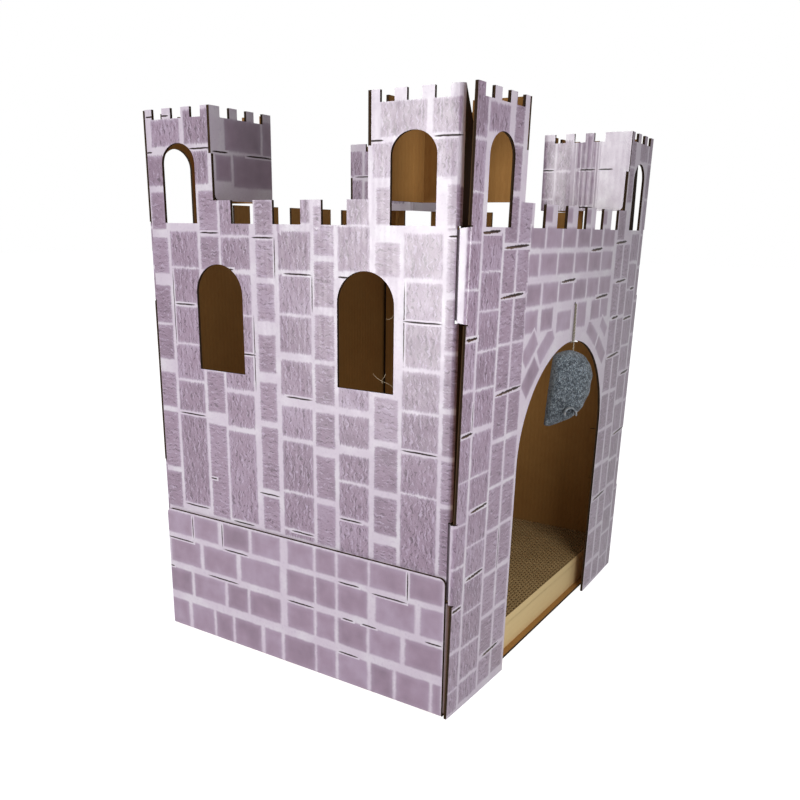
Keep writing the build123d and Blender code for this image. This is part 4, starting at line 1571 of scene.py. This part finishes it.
class CASTLE_OT_mouse(bpy.types.Operator):
    """Make the felt mouse with its ears and loose fibres"""
    bl_idname = "castle.mouse"
    bl_label = "Felt mouse"

    def execute(self, context):
        toy = context.scene.castle_toy
        felt = shared_material("wool_felt", felt_material, toy.felt, toy.felt_light, toy.felt_dark)
        rim = shared_material("ear_felt", felt_material, toy.ear, toy.felt_light, toy.felt)
        body = mouse_mesh("mouse_body_felt")
        body.materials.append(felt)
        piece = add_object("mouse_body_felt", body, "toy", "felt", "mouse_body")
        for side_sign, node in ((-1, "mouse_ear_left"), (1, "mouse_ear_right")):
            ear = ear_mesh(node + "_felt", side_sign)
            ear.materials.append(rim)
            add_object(node + "_felt", ear, "toy", "felt", node)
        fuzz = fibre_mesh("mouse_fibres", body, toy.fibres, toy.fibre_length, 5)
        fuzz.materials.append(felt)
        add_object("mouse_fibres", fuzz, "toy", "felt")
        return {"FINISHED"}


# Stage
CAMERA_PLACE = (-0.8618, -0.5239, 0.4567)
CAMERA_HEADING = 58.01
CAMERA_TILT = -15.62
CAMERA_ROLL = 0.853
CAMERA_SHIFT = (-0.0028, 0.0769)
SENSOR_WIDTH = 36
FLOOR_REACH = 12.0
FLOOR_GLOW = 0.9
# Lamps: place, target, size and the setting of their power
LAMPS = {
    "side_lamp": ((-1.7, 0.64, 0.5), (-0.235, 0, 0.3), (0.4, 0.9), "side_light"),
    "front_lamp": ((-0.29, -0.6, 0.42), (-0.16, -0.2, 0.3), (0.22, 0.22), "front_light"),
}


def aim(heading, tilt, roll):
    """Turn of a camera from its heading, clockwise from +Y, its tilt above the level and its roll."""
    a, e, r = (math.radians(v) for v in (heading, tilt, roll))
    forward = Vector((math.sin(a) * math.cos(e), math.cos(a) * math.cos(e), math.sin(e)))
    level = forward.cross(Vector((0, 0, 1))).normalized()
    up = level.cross(forward)
    right = math.cos(r) * level + math.sin(r) * up
    up = math.cos(r) * up - math.sin(r) * level
    return Matrix((right, up, -forward)).transposed().to_4x4()


def add_stage_object(name, data):
    thing = bpy.data.objects.new(name, data)
    bpy.context.scene.collection.objects.link(thing)
    return thing


def add_lamp(name, place, target, size, power):
    lamp = bpy.data.lights.new(name, "AREA")
    lamp.shape = "RECTANGLE"
    lamp.size, lamp.size_y = size
    lamp.energy = power
    thing = add_stage_object(name, lamp)
    thing.location = place
    thing.rotation_mode = "QUATERNION"
    thing.rotation_quaternion = (Vector(target) - Vector(place)).to_track_quat("-Z", "Y")
    thing.visible_camera = False


def backdrop_share(net):
    """White for the camera and through clear pieces, half of it in reflections."""
    camera, glossy, clear = (
        net.value("LightPath", output=f"Is {kind} Ray") for kind in ("Camera", "Glossy", "Transmission"))
    return net.math("MAXIMUM", camera, net.math("MAXIMUM", glossy * 0.5, clear))


def floor_material(name, colour):
    """Floor: dull and pale, lifted to white for the camera so that only the object's shadow shows on it."""
    material, net = new_material(name)
    dress(net, colour, 1.0, 0.0, Emission_Color=(1.0, 1.0, 1.0),
          Emission_Strength=backdrop_share(net) * FLOOR_GLOW)
    return material


class CASTLE_OT_stage(bpy.types.Operator):
    """Set the floor, lamps, sky and camera"""
    bl_idname = "castle.stage"
    bl_label = "Stage"

    def execute(self, context):
        scene = context.scene
        stage = scene.castle_stage
        scene.view_settings.view_transform = "Standard"
        corners = box_loop(-FLOOR_REACH, FLOOR_REACH, -FLOOR_REACH, FLOOR_REACH)
        floor = new_mesh("stage_floor", [(x, y, 0) for x, y in corners], [(0, 1, 2, 3)])
        floor.materials.append(floor_material("stage_floor", stage.floor))
        add_stage_object("stage_floor", floor)
        world = bpy.data.worlds.new("stage_world")
        world.use_nodes = True
        scene.world = world
        net = Net(world.node_tree)
        background = net.nodes["Background"].inputs
        strength = net.math("MAXIMUM", stage.sky, backdrop_share(net))
        net.feed_all(background, {"Color": (1.0, 1.0, 1.0), "Strength": strength})
        for name, (*placing, setting) in LAMPS.items():
            add_lamp(name, *placing, getattr(stage, setting))
        camera = bpy.data.cameras.new("photo_camera")
        camera.lens = stage.lens
        camera.sensor_width = SENSOR_WIDTH
        camera.shift_x, camera.shift_y = CAMERA_SHIFT
        thing = add_stage_object("photo_camera", camera)
        turn = aim(CAMERA_HEADING, CAMERA_TILT, CAMERA_ROLL)
        thing.matrix_world = Matrix.Translation(CAMERA_PLACE) @ turn
        scene.camera = thing
        return {"FINISHED"}


class CASTLE_PT_panel(bpy.types.Panel):
    """Castle's pieces, in the sidebar"""
    bl_idname = "CASTLE_PT_panel"
    bl_label = "Castle"
    bl_space_type = "VIEW_3D"
    bl_region_type = "UI"
    bl_category = "Castle"

    def draw(self, context):
        for operator in PIECES:
            self.layout.operator(operator.bl_idname)
        for group in (context.scene.castle_print, context.scene.castle_toy, context.scene.castle_stage):
            for name in group.__annotations__:
                self.layout.prop(group, name)


PIECES = (
    CASTLE_OT_stage, CASTLE_OT_mouse, CASTLE_OT_string, CASTLE_OT_end_walls, CASTLE_OT_side_walls,
    CASTLE_OT_tower_corners, CASTLE_OT_base_tray, CASTLE_OT_scratch_pad, CASTLE_OT_paper_fibres,
)
SETTINGS = (("castle_print", CastlePrint), ("castle_toy", CastleToy), ("castle_stage", CastleStage))


def register():
    for name, group in SETTINGS:
        bpy.utils.register_class(group)
        setattr(bpy.types.Scene, name, bpy.props.PointerProperty(type=group))
    for entry in (*PIECES, CASTLE_PT_panel):
        bpy.utils.register_class(entry)


def unregister():
    for entry in reversed((*PIECES, CASTLE_PT_panel)):
        bpy.utils.unregister_class(entry)
    for name, group in reversed(SETTINGS):
        delattr(bpy.types.Scene, name)
        bpy.utils.unregister_class(group)


def main():
    register()
    for operator in PIECES:
        group, name = operator.bl_idname.split(".")
        getattr(getattr(bpy.ops, group), name)()


if __name__ == "__main__":
    main()
